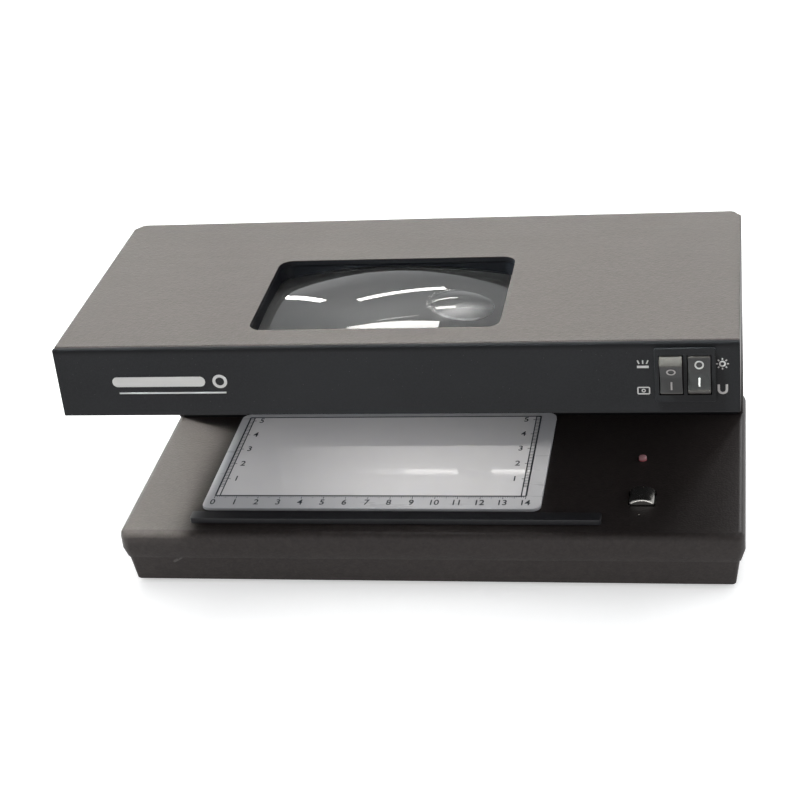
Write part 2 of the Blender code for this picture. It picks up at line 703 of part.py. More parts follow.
def round_rear_corners(mesh):
    """Rounds the two long edges where the leaning rear wall meets the sides."""
    shape = bmesh.new()
    shape.from_mesh(mesh)
    foot = back(COLUMN_REAR_FOOT)
    top = back(HEAD_DEPTH)
    ends = [(foot, SHELL_FOOT), (top, HEAD_TOP)]
    chosen = []
    for edge in shape.edges:
        places = [vert.co for vert in edge.verts]
        same_side = abs(places[0].x - places[1].x) < 0.0001
        if same_side and all(on_place(place, ends) for place in places):
            chosen.append(edge)
    bmesh.ops.bevel(
        shape, geom=chosen, offset=HEAD_CORNER, segments=5, profile=0.5, affect="EDGES"
    )
    shape.to_mesh(mesh)
    shape.free()


def on_place(place, ends):
    return any(math.hypot(place.y - y, place.z - z) < 0.0001 for y, z in ends)


def front_fascia():
    low = (-HALF, back(0.0), HEAD_UNDERSIDE)
    high = (HALF, back(FASCIA_THICKNESS), HEAD_TOP)
    fascia = rounded(box("front_fascia", low, high), 0.0006, 2)
    width, height = SWITCH_BODY[0] / 2 + GAP, SWITCH_BODY[1] / 2 + GAP
    hole_low = (SWITCH_X - width, back(-0.01), SWITCH_Z - height)
    hole_high = (SWITCH_X + width, back(0.01), SWITCH_Z + height)
    cut(fascia, box("switch_hole", hole_low, hole_high))
    return paint(fascia, BLACK, 0.6)


LENS_X = grown(WINDOW_X, -GAP)
LENS_Y = grown((back(WINDOW_Y[0]), back(WINDOW_Y[1])), -GAP)
PORT_X = grown(WINDOW_X, -0.0022)
PORT_Y = grown((back(WINDOW_Y[0]), back(WINDOW_Y[1])), -0.0022)
FRAME_FOOT = 0.1243


def head_bottom_cover():
    inner = HALF - WALL - GAP
    low = (-inner, back(FASCIA_THICKNESS + GAP), HEAD_UNDERSIDE)
    high = (inner, back(0.1190), HEAD_UNDERSIDE + WALL)
    cover = rounded(box("head_bottom_cover", low, high), 0.0003, 1)
    shroud_x = grown(WINDOW_X, -0.0004)
    shroud_y = grown((back(WINDOW_Y[0]), back(WINDOW_Y[1])), -0.0004)
    top = FRAME_FOOT - 0.0022
    join(cover, plate("view_shroud", shroud_x, shroud_y, 0.005, HEAD_UNDERSIDE + 0.001, top, 4))
    cut(cover, plate("view_port", PORT_X, PORT_Y, 0.004, 0.100, 0.140, 4))
    lamp_x = (-0.104, 0.104)
    lamp_y = (back(0.0865), back(0.1130))
    cut(cover, plate("lamp_opening", lamp_x, lamp_y, 0.003, 0.100, 0.112, 3))
    for number, (x, y) in enumerate(HEAD_SCREWS):
        place = (x, y, HEAD_UNDERSIDE)
        cut(cover, cylinder(f"head_screw_hole_{number}", CLEARANCE_RADIUS, 0.010, place, sides=16))
    return paint(cover, BLACK, 0.55)


def inner_back_panel():
    inner = HALF - WALL - GAP
    foot = SHELL_FOOT
    top = HEAD_UNDERSIDE - GAP
    lean = (COLUMN_FRONT_FOOT - COLUMN_FRONT_TOP) / (HEAD_UNDERSIDE - SHELL_FOOT)
    front_top = back(COLUMN_FRONT_TOP) + lean * GAP
    front_foot = back(COLUMN_FRONT_FOOT)
    outline = [
        (front_top, top),
        (front_foot, foot),
        (front_foot + PANEL_THICKNESS, foot),
        (front_top + PANEL_THICKNESS, top),
    ]
    panel = side_profile("inner_back_panel", outline, -inner, inner)
    return paint(panel, BLACK, 0.55)


def high_power_spot(lens_centre):
    """Small dome that stands on the lens's upper face, square to it."""
    across = Vector((SPOT_PLACE[0] - lens_centre[0], back(SPOT_PLACE[1]) - lens_centre[1], 0.0))
    height = math.sqrt(LENS_RADIUS ** 2 - across.length_squared)
    outward = Vector((across.x, across.y, height)).normalized()
    sphere = (SPOT_RADIUS ** 2 + SPOT_RISE ** 2) / (2 * SPOT_RISE)
    profile = []
    for step in range(6):
        radius = SPOT_RADIUS * step / 5
        profile.append((radius, SPOT_RISE - sphere + math.sqrt(sphere ** 2 - radius ** 2)))
    profile += [(SPOT_RADIUS, -0.002), (0.0, -0.002)]
    place = Vector((*lens_centre, LENS_APEX - LENS_RADIUS)) + outward * LENS_RADIUS
    spot = turned("high_power_spot", profile, place, 32)
    spot.rotation_euler = outward.to_track_quat("Z", "Y").to_euler()
    return spot


def magnifier():
    """Frame in the window, lens with its round high-power spot, and the ring that holds it."""
    window_y = (back(WINDOW_Y[0]), back(WINDOW_Y[1]))
    flange_top = HEAD_TOP - WALL - GAP
    flange = plate(
        "lens_frame", grown(WINDOW_X, 0.005), grown(window_y, 0.004), 0.004, flange_top - 0.0015, flange_top
    )
    sleeve = plate(
        "lens_sleeve", grown(WINDOW_X, 0.002), grown(window_y, 0.002), 0.0065, FRAME_FOOT, flange_top - 0.0005
    )
    join(flange, sleeve)
    bore = plate("sleeve_bore", grown(WINDOW_X, 0.0001), grown(window_y, 0.0001), 0.0056, 0.120, 0.140)
    cut(flange, bore)
    paint(flange, BLACK, 0.45)

    rings = 8
    reach = 0.064
    centre = ((LENS_X[0] + LENS_X[1]) / 2, (LENS_Y[0] + LENS_Y[1]) / 2)
    dome = []
    for step in range(rings + 1):
        radius = reach * step / rings
        drop = LENS_RADIUS - math.sqrt(LENS_RADIUS ** 2 - radius ** 2)
        dome.append((radius, LENS_APEX - drop))
    dome += [(reach, LENS_BASE), (0.0, LENS_BASE)]
    lens = settled(turned("magnifier_lens", dome, (*centre, 0.0), 48))
    blank = plate("lens_blank", LENS_X, LENS_Y, 0.0052, LENS_BASE - 0.005, LENS_APEX + 0.005)
    boolean(lens, blank, "INTERSECT")
    join(lens, high_power_spot(centre))
    paint(lens, (0.9, 0.92, 0.92), 0.02, 0.0, 1.0)

    ring_top = FRAME_FOOT - GAP
    ring_foot = ring_top - 0.0015
    ring = plate("lens_retainer", grown(WINDOW_X, 0.002), grown(window_y, 0.002), 0.0065, ring_foot, ring_top)
    lip = plate("retainer_lip", LENS_X, LENS_Y, 0.0052, ring_top - 0.001, LENS_BASE - GAP)
    join(ring, lip)
    cut(ring, plate("retainer_bore", PORT_X, PORT_Y, 0.004, 0.110, 0.140))
    paint(ring, BLACK, 0.5)


# ---------------------------------------------------------------- switch
def twin_switch():
    width, height = SWITCH_BEZEL[0] / 2, SWITCH_BEZEL[1] / 2
    bezel = front_profile(
        "switch_body",
        rounded_rectangle(
            (SWITCH_X - width, SWITCH_X + width), (SWITCH_Z - height, SWITCH_Z + height), 0.0008, 2
        ),
        back(-SWITCH_PROUD),
        back(-GAP),
    )
    rounded(bezel, 0.0004, 1, 50)
    core_x, core_z = SWITCH_BODY[0] / 2, SWITCH_BODY[1] / 2
    core_low = (SWITCH_X - core_x, back(-SWITCH_PROUD / 2), SWITCH_Z - core_z)
    core_high = (SWITCH_X + core_x, back(0.0165), SWITCH_Z + core_z)
    join(bezel, box("switch_core", core_low, core_high))
    for number, side in enumerate((-1, 1)):
        x = SWITCH_X + side * ROCKER_PITCH / 2
        centre = (x, back(PIVOT_DEPTH), SWITCH_Z)
        well = cylinder(f"rocker_well_{number}", ROCKER_RADIUS + 0.0004, 0.0092, centre, "X", 64)
        cut(bezel, well)
    paint(bezel, BLACK, 0.4)
    for number in range(4):
        x = SWITCH_X + (-1 if number < 2 else 1) * ROCKER_PITCH / 2
        z = SWITCH_Z + (-1 if number % 2 else 1) * 0.0050
        low = (x - 0.0024, back(0.0168), z - 0.0004)
        high = (x + 0.0024, back(0.0255), z + 0.0004)
        paint(box(f"switch_terminal_{number + 1}", low, high), NICKEL, 0.3, 1.0)


def rocker_outline():
    """Half-way position: a shallow V in front, round ends about the pivot, a blunt back."""
    half_swing = ROCKER_SWING / 2
    tip = TIP_ANGLE_FLUSH - half_swing
    outline = [(-ROCKER_FLUSH / math.cos(half_swing), 0.0)]
    shoulder = math.radians(80)
    steps = 5
    for step in range(steps + 1):
        angle = tip + (shoulder - tip) * step / steps
        outline.append((-ROCKER_RADIUS * math.cos(angle), ROCKER_RADIUS * math.sin(angle)))
    outline.append((0.0026, 0.0040))
    lower = [(y, -z) for y, z in reversed(outline[1:])]
    return outline + lower


def rocker(name, side, tilt):
    half = ROCKER_WIDTH / 2
    made = side_profile(name, rocker_outline(), -half, half)
    rounded(made, 0.00035, 2, 30)
    made.location = (SWITCH_X + side * ROCKER_PITCH / 2, back(PIVOT_DEPTH), SWITCH_Z)
    made.rotation_euler.x = tilt
    return paint(made, BLACK, 0.35)


# ---------------------------------------------------------------- ultraviolet lamps and wiring
def ultraviolet_light():
    lamp_places = [(back(y), UV_Z) for y in UV_Y]
    for name, (y, z) in zip(("uv_tube_front", "uv_tube_rear"), lamp_places):
        lamp(name, 0.0, y, z, UV_GLASS)
    reach = lamp_end(UV_GLASS)
    for side, label in ((-1, "left"), (1, "right")):
        y_span = (back(0.0845), back(0.1205))
        z_span = (HEAD_UNDERSIDE + WALL + GAP, UV_Z + 0.0105)
        lampholder(f"uv_lampholder_{label}", side * reach, side, lamp_places, y_span, z_span)
    outline = [
        (back(0.0832), 0.1100),
        (back(0.0845), 0.1285),
        (back(0.1172), 0.1285),
        (back(0.1225), 0.1115),
    ]
    half = UV_GLASS / 2 - 0.001
    folded_sheet("uv_reflector", outline, -half, half, 0.0006)
    floor = HEAD_UNDERSIDE + WALL
    board = box("uv_ballast_board", (0.056, back(0.028), floor + 0.003), (0.096, back(0.078), floor + 0.0046))
    paint(board, LACQUER_GREEN, 0.4)
    choke_low = (0.062, back(0.036), floor + 0.0049)
    choke_high = (0.082, back(0.056), floor + 0.0190)
    paint(rounded(box("uv_choke", choke_low, choke_high), 0.001, 1), (0.5, 0.42, 0.1), 0.5)


def wiring_loom():
    """Bundle from the base, up the hollow column and forward into the head."""
    foot = Vector((0.0, back(0.1465), 0.0232))
    bend = Vector((0.0, back(0.1425), 0.0450))
    neck = Vector((0.0, back(0.1262), 0.1030))
    rise = Vector((0.002, back(0.1222), 0.1260))
    over = Vector((0.014, back(0.1190), 0.1313))
    end = Vector((0.060, back(0.1190), 0.1313))
    route = [foot]
    corners = (foot, bend, neck, rise, over, end)
    for before, middle, after in zip(corners, corners[1:], corners[2:]):
        start = before.lerp(middle, 0.5)
        finish = middle.lerp(after, 0.5)
        for step in range(4):
            t = step / 4
            route.append(start.lerp(middle, t).lerp(middle.lerp(finish, t), t))
    route.append(end)
    curve = bpy.data.curves.new("wiring_loom", "CURVE")
    curve.dimensions = "3D"
    curve.bevel_depth = 0.0016
    curve.bevel_resolution = 2
    curve.use_fill_caps = True
    spline = curve.splines.new("POLY")
    spline.points.add(len(route) - 1)
    for point, place in zip(spline.points, route):
        point.co = (*place, 1.0)
    return paint(new_object("wiring_loom", curve), BLACK, 0.6)


# ---------------------------------------------------------------- assembly
base_top_cover()
base_tray()
feet()
screws()
light_plate()
stop_rail()
magnetic_sensor()
watermark_light()
power_supply()
mains_inlet()
upper_shell()
front_fascia()
head_bottom_cover()
inner_back_panel()
magnifier()
twin_switch()
rocker("uv_rocker", -1, ROCKER_SWING / 2)
rocker("light_rocker", 1, -ROCKER_SWING / 2)
ultraviolet_light()
wiring_loom()
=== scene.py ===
"""Looks of the desktop banknote tester: materials, fine pieces, prints, camera and studio light.

Everything is in metres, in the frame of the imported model. X is the width, the front fascia faces -Y.
"""
import json
import math

import bmesh
import bpy
import numpy as np
from mathutils import Matrix, Vector


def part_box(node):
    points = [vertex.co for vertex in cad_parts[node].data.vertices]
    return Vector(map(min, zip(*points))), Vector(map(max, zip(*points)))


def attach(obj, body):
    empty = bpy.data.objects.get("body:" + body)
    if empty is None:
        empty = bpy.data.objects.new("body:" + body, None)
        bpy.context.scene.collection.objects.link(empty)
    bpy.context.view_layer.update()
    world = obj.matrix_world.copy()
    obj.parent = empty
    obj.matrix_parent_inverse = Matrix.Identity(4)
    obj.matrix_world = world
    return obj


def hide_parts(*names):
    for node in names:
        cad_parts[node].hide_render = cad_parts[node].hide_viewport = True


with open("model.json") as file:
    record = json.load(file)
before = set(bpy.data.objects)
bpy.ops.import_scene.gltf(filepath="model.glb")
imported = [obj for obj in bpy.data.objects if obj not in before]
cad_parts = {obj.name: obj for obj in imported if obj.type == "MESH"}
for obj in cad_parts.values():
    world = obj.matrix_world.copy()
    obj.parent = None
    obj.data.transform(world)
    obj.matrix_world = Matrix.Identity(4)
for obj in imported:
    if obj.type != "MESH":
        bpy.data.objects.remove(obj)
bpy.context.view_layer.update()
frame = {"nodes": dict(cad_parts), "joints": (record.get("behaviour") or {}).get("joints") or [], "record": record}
NODES = frame["nodes"]
RECORD = frame["record"]

# ---------------------------------------------------------------- places read from the frame
FASCIA_LOW, FASCIA_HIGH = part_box("front_fascia")
FASCIA_Y = FASCIA_LOW.y
HEAD_TOP = FASCIA_HIGH.z
PLATE_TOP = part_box("light_plate")[1].z
LENS_LOW, LENS_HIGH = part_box("magnifier_lens")
LENS_MIDDLE = (LENS_LOW + LENS_HIGH) / 2
BASE_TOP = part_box("base_top_cover")[1].z
JOINTS = {joint["name"]: joint for joint in frame["joints"]}


def back(distance):
    """World Y of a place that lies `distance` behind the front of the fascia."""
    return FASCIA_Y + distance


WINDOW = (-0.0582, 0.0428, 0.0157, 0.0813)      # X, X, and two distances behind the fascia
SCALE_ZERO_X = -0.0980
SCALE_STEP = 0.0100
SCALE_LAST = 14
SCALE_END_X = SCALE_ZERO_X + SCALE_STEP * SCALE_LAST
BORDER_FRONT = 0.0620            # distances behind the fascia
BORDER_REAR = 0.1332
ROCKER_RADIUS = 0.00914


# ---------------------------------------------------------------- camera
CAMERA_PLACE = (0.14066, -0.72007, 0.46480)
CAMERA_TURN = (61.676, 5.408, 9.105)
CAMERA_LENS = 85.835


def make_camera():
    data = bpy.data.cameras.new("camera")
    data.lens = CAMERA_LENS
    camera = bpy.data.objects.new("camera", data)
    camera.location = CAMERA_PLACE
    camera.rotation_euler = [math.radians(angle) for angle in CAMERA_TURN]
    bpy.context.scene.collection.objects.link(camera)
    bpy.context.scene.camera = camera


# ---------------------------------------------------------------- studio
FLOOR_HALF = 20.0
WARM = (1.0, 0.975, 0.945)
BEAM_DISTANCE = 1.2


def compass(azimuth, elevation, distance):
    """Place seen from the lens at an azimuth from +Y towards +X and an elevation, in degrees."""
    az, el = math.radians(azimuth), math.radians(elevation)
    across = math.cos(el)
    direction = Vector((math.sin(az) * across, math.cos(az) * across, math.sin(el)))
    return LENS_MIDDLE + direction * distance


def area_light(name, place, size, radiance, colour=(1.0, 1.0, 1.0), roll_to=None):
    """Rectangular light that faces the lens, with a given brightness of its face."""
    data = bpy.data.lights.new(name, "AREA")
    data.shape = "RECTANGLE"
    data.size, data.size_y = size
    data.energy = radiance * math.pi * size[0] * size[1]
    data.color = colour
    light = bpy.data.objects.new(name, data)
    bpy.context.scene.collection.objects.link(light)
    backward = -(LENS_MIDDLE - place).normalized()
    sideways = roll_to.normalized() if roll_to else Vector((0, 0, 1)).cross(backward).normalized()
    upward = backward.cross(sideways).normalized()
    sideways = upward.cross(backward)
    turn = Matrix((sideways, upward, backward)).transposed()
    light.matrix_world = Matrix.Translation(place) @ turn.to_4x4()
    light.visible_camera = False
    return light


def strip_light(name, start, end, width, radiance, lens):
    """Straight lamp between two places, flagged so that it only draws a streak on the lens."""
    first, last = Vector(start), Vector(end)
    size = ((last - first).length, width)
    light = area_light(name, (first + last) / 2, size, radiance, WARM, last - first)
    linked(light, lens, "INCLUDE")


def linked(light, item, state):
    """Lets a light reach one object only, or every object but that one."""
    group = bpy.data.collections.new(light.name + "_link")
    group.objects.link(item)
    light.light_linking.receiver_collection = group
    group.collection_objects[0].light_linking.link_state = state


def aimed_light(name, place, away, size, spread, watts, colour):
    """Narrow light that shines the opposite way to `away`, with a given spread and power."""
    light = area_light(name, place, size, 0.0, colour)
    light.matrix_world = Matrix.Translation(place) @ away.to_track_quat("Z", "Y").to_matrix().to_4x4()
    light.data.energy = watts
    light.data.spread = math.radians(spread)
    return light


def left_beam(floor):
    """Nearly parallel daylight from the left, flagged off the floor."""
    target = Vector((-0.030, back(0.064), HEAD_TOP))
    away = compass(-103, 70, BEAM_DISTANCE) - LENS_MIDDLE
    light = aimed_light("left_beam", target + away, away, (0.42, 0.62), 13.0, 8.1, (0.87, 1.0, 0.98))
    light.visible_glossy = False
    light.data.cycles.use_multiple_importance_sampling = False
    linked(light, floor, "EXCLUDE")


def window_glow():
    """Daylight that comes down through the magnifier on to the plate."""
    place = Vector((-0.010, back(0.0590), HEAD_TOP - 0.0318))
    away = Vector((0.0, -0.55, 1.0))
    aimed_light("window_glow", place, away, (0.110, 0.040), 80.0, 0.0006, (1.0, 0.935, 0.885))


def plate_fill():
    """Soft light of the bay on the light plate alone."""
    place = Vector((-0.068, back(0.096), HEAD_TOP - 0.036))
    light = area_light("plate_fill", place, (0.16, 0.08), 0.48)
    light.matrix_world = Matrix.Translation(place)
    light.visible_glossy = False
    linked(light, NODES["light_plate"], "INCLUDE")


def mirrored_lamp(name, low, high, distance, radiance):
    """Upright lamp under the head, (X, Z) corner to corner, that shows only mirrored in the plate."""
    place = Vector(((low[0] + high[0]) / 2, back(distance), (low[1] + high[1]) / 2))
    light = area_light(name, place, (high[0] - low[0], high[1] - low[1]), radiance, WARM)
    light.matrix_world = Matrix.Translation(place) @ Matrix.Rotation(math.radians(-90.0), 4, "X")
    light.visible_diffuse = False
    linked(light, NODES["light_plate"], "INCLUDE")


def make_world():
    """White room, brighter along the horizon than overhead."""
    world = bpy.data.worlds.new("white_room")
    world.use_nodes = True
    nodes, links = world.node_tree.nodes, world.node_tree.links
    background = nodes["Background"]
    background.inputs["Color"].default_value = (0.97, 0.985, 1.0, 1.0)
    place = nodes.new("ShaderNodeTexCoord").outputs["Generated"]
    parts = nodes.new("ShaderNodeSeparateXYZ")
    links.new(place, parts.inputs[0])
    wall = nodes.new("ShaderNodeMapRange")
    for socket, value in (("From Min", 0.20), ("From Max", 0.32), ("To Min", 1.05), ("To Max", 0.52)):
        wall.inputs[socket].default_value = value
    links.new(parts.outputs["Z"], wall.inputs["Value"])
    links.new(wall.outputs["Result"], background.inputs["Strength"])
    bpy.context.scene.world = world


def make_floor():
    """Plain pale floor, a little bright of itself."""
    bpy.ops.mesh.primitive_plane_add(size=2 * FLOOR_HALF)
    floor = bpy.context.object
    floor.name = "floor"
    paper = Graph("floor_paper")
    tone = paper.ramp(paper.noise(3.0, 2.0), 0.3, 0.7)
    paper.colour(paper.mix(tone, (0.90, 0.90, 0.90), (0.92, 0.92, 0.92)))
    paper.shader.inputs["Roughness"].default_value = 0.9
    paper.shader.inputs["Specular IOR Level"].default_value = 0.1
    paper.shader.inputs["Emission Color"].default_value = (1.0, 1.0, 1.0, 1.0)
    paper.shader.inputs["Emission Strength"].default_value = 0.45
    floor.data.materials.append(paper.material)
    return floor


def make_studio(lens, sensor):
    """Room, floor and lights; a few lights reach only the piece whose gloss they draw."""
    bpy.context.scene.view_settings.view_transform = "Standard"
    make_world()
    floor = make_floor()
    rear_panel = area_light("rear_panel", compass(-24, 30, 2.6), (3.2, 1.6), 0.7, (1.0, 0.98, 0.95))
    linked(rear_panel, lens, "EXCLUDE")
    area_light("front_key", compass(170, 36, 2.0), (1.3, 0.3), 1.8)
    area_light("right_panel", compass(78, 18, 2.2), (1.2, 1.0), 2.0, (0.95, 0.98, 1.0))
    area_light("overhead", compass(0, 88, 1.8), (1.8, 1.8), 2.5)
    strip_light("strip_left", (-1.127, 2.269, 0.400), (-0.808, 2.133, 1.114), 0.045, 15.0, lens)
    strip_light("strip_middle", (-0.624, 2.121, 1.247), (-0.171, 2.268, 1.119), 0.055, 15.0, lens)
    strip_light("strip_front", (-0.667, 1.781, 1.697), (-0.093, 1.864, 1.732), 0.150, 12.0, lens)
    strip_light("strip_thin", (-0.487, 1.892, 1.631), (-0.242, 1.961, 1.602), 0.014, 6.0, lens)
    left_beam(floor)
    edge_strip = area_light("edge_strip", compass(24, 24, 2.2), (0.3, 0.3), 24.0)
    linked(edge_strip, NODES["base_top_cover"], "INCLUDE")
    sensor_glint = area_light("sensor_glint", compass(176, -2, 1.4), (0.9, 0.25), 3.0)
    linked(sensor_glint, sensor, "INCLUDE")
    window_glow()
    plate_fill()
    for step in range(7):
        left = -0.026 - 0.0095 * step
        name = "mirrored_bay_" + str(step)
        mirrored_lamp(name, (left, 0.0377 + 0.0003 * step), (0.075, 0.090), 0.118 + 0.0004 * step, 0.30)
    mirrored_lamp("mirrored_tube_fade", (-0.0410, 0.0490), (-0.0215, 0.0510), 0.115, 0.9)
    mirrored_lamp("mirrored_tube_left", (-0.0215, 0.0489), (0.0030, 0.0511), 0.115, 3.8)
    mirrored_lamp("mirrored_tube_right", (0.0195, 0.0489), (0.0600, 0.0511), 0.115, 4.5)


# ---------------------------------------------------------------- node materials
FRAME_BLACK_AND_PAINTED_SHADE = (0.0035, 0.0038, 0.0052)     # near black: the lens frame's black darkened as painted shade, and painted shade on the shell's window walls


def rgba(colour):
    return (*colour, 1.0) if len(colour) == 3 else colour


class Graph:
    """One node material round a Principled shader, with short names for the nodes it uses."""

    def __init__(self, name):
        self.material = bpy.data.materials.new(name)
        self.material.use_nodes = True
        self.tree = self.material.node_tree
        self.shader = self.tree.nodes["Principled BSDF"]
        self.place = self.add("ShaderNodeTexCoord").outputs["Object"]

    def add(self, kind, **settings):
        node = self.tree.nodes.new(kind)
        for key, value in settings.items():
            setattr(node, key, value)
        return node

    def feed(self, socket, value):
        if isinstance(value, bpy.types.NodeSocket):
            self.tree.links.new(value, socket)
        elif isinstance(value, tuple) and socket.type == "RGBA":
            socket.default_value = rgba(value)
        else:
            socket.default_value = value

    def stretched(self, scale):
        node = self.add("ShaderNodeMapping")
        self.feed(node.inputs["Vector"], self.place)
        node.inputs["Scale"].default_value = scale
        return node.outputs["Vector"]

    def noise(self, scale, detail=2.0, roughness=0.5, place=None):
        node = self.add("ShaderNodeTexNoise")
        self.feed(node.inputs["Vector"], place or self.place)
        node.inputs["Scale"].default_value = scale
        node.inputs["Detail"].default_value = detail
        node.inputs["Roughness"].default_value = roughness
        return node.outputs[0]

    def cells(self, scale):
        node = self.add("ShaderNodeTexVoronoi")
        self.feed(node.inputs["Vector"], self.place)
        node.inputs["Scale"].default_value = scale
        return node.outputs["Distance"]

    def ramp(self, value, low, high, to_low=0.0, to_high=1.0):
        node = self.add("ShaderNodeMapRange", interpolation_type="SMOOTHSTEP")
        self.feed(node.inputs["Value"], value)
        node.inputs["From Min"].default_value = low
        node.inputs["From Max"].default_value = high
        node.inputs["To Min"].default_value = to_low
        node.inputs["To Max"].default_value = to_high
        return node.outputs["Result"]

    def mix(self, factor, first, second):
        node = self.add("ShaderNodeMix", data_type="RGBA")
        self.feed(node.inputs[0], factor)
        self.feed(node.inputs[6], rgba(first) if isinstance(first, tuple) else first)
        self.feed(node.inputs[7], rgba(second) if isinstance(second, tuple) else second)
        return node.outputs[2]

    def maths(self, operation, first, second=0.0):
        node = self.add("ShaderNodeMath", operation=operation)
        self.feed(node.inputs[0], first)
        self.feed(node.inputs[1], second)
        return node.outputs[0]

    def times(self, first, *others):
        for other in others:
            first = self.maths("MULTIPLY", first, other)
        return first

    def axes(self):
        node = self.add("ShaderNodeSeparateXYZ")
        self.feed(node.inputs[0], self.place)
        return node.outputs

    def bump(self, height, depth):
        node = self.add("ShaderNodeBump")
        node.inputs["Strength"].default_value = 1.0
        node.inputs["Distance"].default_value = depth
        self.feed(node.inputs["Height"], height)
        return node.outputs["Normal"]

    def colour(self, value):
        self.feed(self.shader.inputs["Base Color"], value)

    def tone(self):
        """What the base colour is fed by so far."""
        return self.shader.inputs["Base Color"].links[0].from_socket

    def roughness(self, value):
        self.feed(self.shader.inputs["Roughness"], value)

    def normal(self, value):
        self.feed(self.shader.inputs["Normal"], value)

    def outside(self, low, high):
        """1 outside a flat rectangle seen from above, and 0 inside it."""
        edge = 0.0001
        reach = []
        for axis in (0, 1):
            offset = self.maths("SUBTRACT", self.axes()[axis], (low[axis] + high[axis]) / 2)
            reach.append(self.maths("SUBTRACT", self.maths("ABSOLUTE", offset), (high[axis] - low[axis]) / 2))
        return self.ramp(self.maths("MAXIMUM", *reach), -edge, edge)


def moulded(name, colour, variation, roughness, grain, depth, specular):
    """Moulded plastic: clouded tone, spark-eroded grain, faint smears and specks of dust."""
    graph = Graph(name)
    clouds = graph.ramp(graph.noise(16.0, 2.0), 0.2, 0.8)
    darker = tuple(part * (1.0 - variation) for part in colour)
    lighter = tuple(part * (1.0 + variation) for part in colour)
    tone = graph.mix(clouds, darker, lighter)
    grain_height = graph.noise(grain, 2.0, 0.6)
    pits = graph.ramp(grain_height, 0.35, 0.65)
    pale = tuple(part * 1.5 for part in colour)
    tone = graph.mix(graph.times(pits, 0.4), tone, pale)
    specks = graph.ramp(graph.cells(420.0), 0.06, 0.03)
    tone = graph.mix(graph.times(specks, 0.10), tone, (0.45, 0.44, 0.42))
    graph.colour(tone)
    smears = graph.noise(34.0, 4.0, 0.6, graph.stretched((1.0, 2.2, 1.6)))
    graph.roughness(graph.ramp(smears, 0.25, 0.75, max(roughness - 0.012, 0.03), roughness + 0.015))
    graph.normal(graph.bump(grain_height, depth))
    graph.shader.inputs["Specular IOR Level"].default_value = specular
    return graph


SCRATCH_X, SCRATCH_Z = -0.1112, 0.0137     # middle of the scratch


def housing_material():
    """Housing grain, with painted shade that turns the window walls of the head near black, and one worn scratch
    on the front of the base.
    """
    graph = moulded("housing_plastic", (0.0222, 0.0180, 0.0170), 0.08, 0.42, 1000.0, 0.00011, 0.2)
    mottle = graph.ramp(graph.noise(380.0, 3.0, 0.65), 0.35, 0.65)
    tone = graph.mix(graph.times(mottle, 0.30), graph.tone(), (0.0330, 0.0270, 0.0255))
    hollows = graph.maths("SUBTRACT", 1.0, mottle)
    tone = graph.mix(graph.times(hollows, 0.22), tone, (0.0120, 0.0098, 0.0092))
    x, y, z = graph.axes()[:3]

    grow = 0.0008                # the walls stand this far outside the clear window
    low = (WINDOW[0] - grow, back(WINDOW[2]) - grow)
    high = (WINDOW[1] + grow, back(WINDOW[3]) + grow)
    within = graph.maths("SUBTRACT", 1.0, graph.outside(low, high))
    below = graph.ramp(z, HEAD_TOP - 0.0002, HEAD_TOP - 0.0004)
    high_up = graph.ramp(z, HEAD_TOP - 0.030, HEAD_TOP - 0.029)
    # painted shade: the shell's walls inside the window, just below the head top, are coloured near black
    tone = graph.mix(graph.times(within, below, high_up), tone, FRAME_BLACK_AND_PAINTED_SHADE)

    across, rise = graph.maths("SUBTRACT", x, SCRATCH_X), graph.maths("SUBTRACT", z, SCRATCH_Z)
    along = graph.maths("ADD", graph.times(across, 0.85), graph.times(rise, 0.53))
    aside = graph.maths("SUBTRACT", graph.times(across, 0.53), graph.times(rise, 0.85))
    length = graph.ramp(graph.maths("ABSOLUTE", along), 0.0034, 0.0020)
    width = graph.ramp(graph.maths("ABSOLUTE", aside), 0.0009, 0.0004)
    front = graph.ramp(y, back(0.045), back(0.044))
    broken = graph.ramp(graph.noise(700.0, 3.0, 0.6), 0.35, 0.6)
    worn = graph.times(length, width, front, broken, 0.8)
    graph.colour(graph.mix(worn, tone, (0.075, 0.068, 0.066)))
    return graph.material


def fascia_material():
    """Matt black, with painted shade as a darker band along the top edge of the head."""
    graph = moulded("fascia_plastic", (0.0088, 0.0088, 0.0096), 0.15, 0.55, 1700.0, 0.00002, 0.12)
    # painted shade: the fascia is coloured darker towards its top edge
    edge = graph.ramp(graph.axes()[2], HEAD_TOP - 0.0028, HEAD_TOP - 0.0006)
    graph.colour(graph.mix(edge, graph.tone(), (0.0034, 0.0034, 0.0038)))
    return graph.material


def switch_material():
    """Satin black; the curved ends of the rockers carry fine grip lines and are coloured paler there as a painted
    highlight.
    """
    graph = moulded("switch_plastic", (0.0085, 0.0080, 0.0080), 0.1, 0.30, 2200.0, 0.00001, 0.42)
    x, y, z = graph.axes()[:3]
    pivot = JOINTS["uv_rocker_tilt"]["pos_m"]
    side = graph.maths("SUBTRACT", y, pivot[1])
    rise = graph.maths("SUBTRACT", z, pivot[2])
    squares = graph.maths("ADD", graph.maths("POWER", side, 2.0), graph.maths("POWER", rise, 2.0))
    reach = graph.maths("SQRT", squares)
    inner = graph.ramp(reach, ROCKER_RADIUS - 0.0007, ROCKER_RADIUS - 0.0003)
    outer = graph.ramp(reach, ROCKER_RADIUS + 0.0004, ROCKER_RADIUS + 0.0003)
    off_middle = graph.maths("SUBTRACT", x, pivot[0] + 0.0053)
    across = graph.ramp(graph.maths("ABSOLUTE", off_middle), 0.0105, 0.0100)
    lines = graph.ramp(graph.maths("PINGPONG", x, 0.00025), 0.00005, 0.00020, 0.55, 1.0)
    # painted highlight: the curved ends are coloured paler, broken by real grip lines
    graph.colour(graph.mix(graph.times(inner, outer, across, lines), graph.tone(), (0.031, 0.027, 0.024)))
    return graph.material


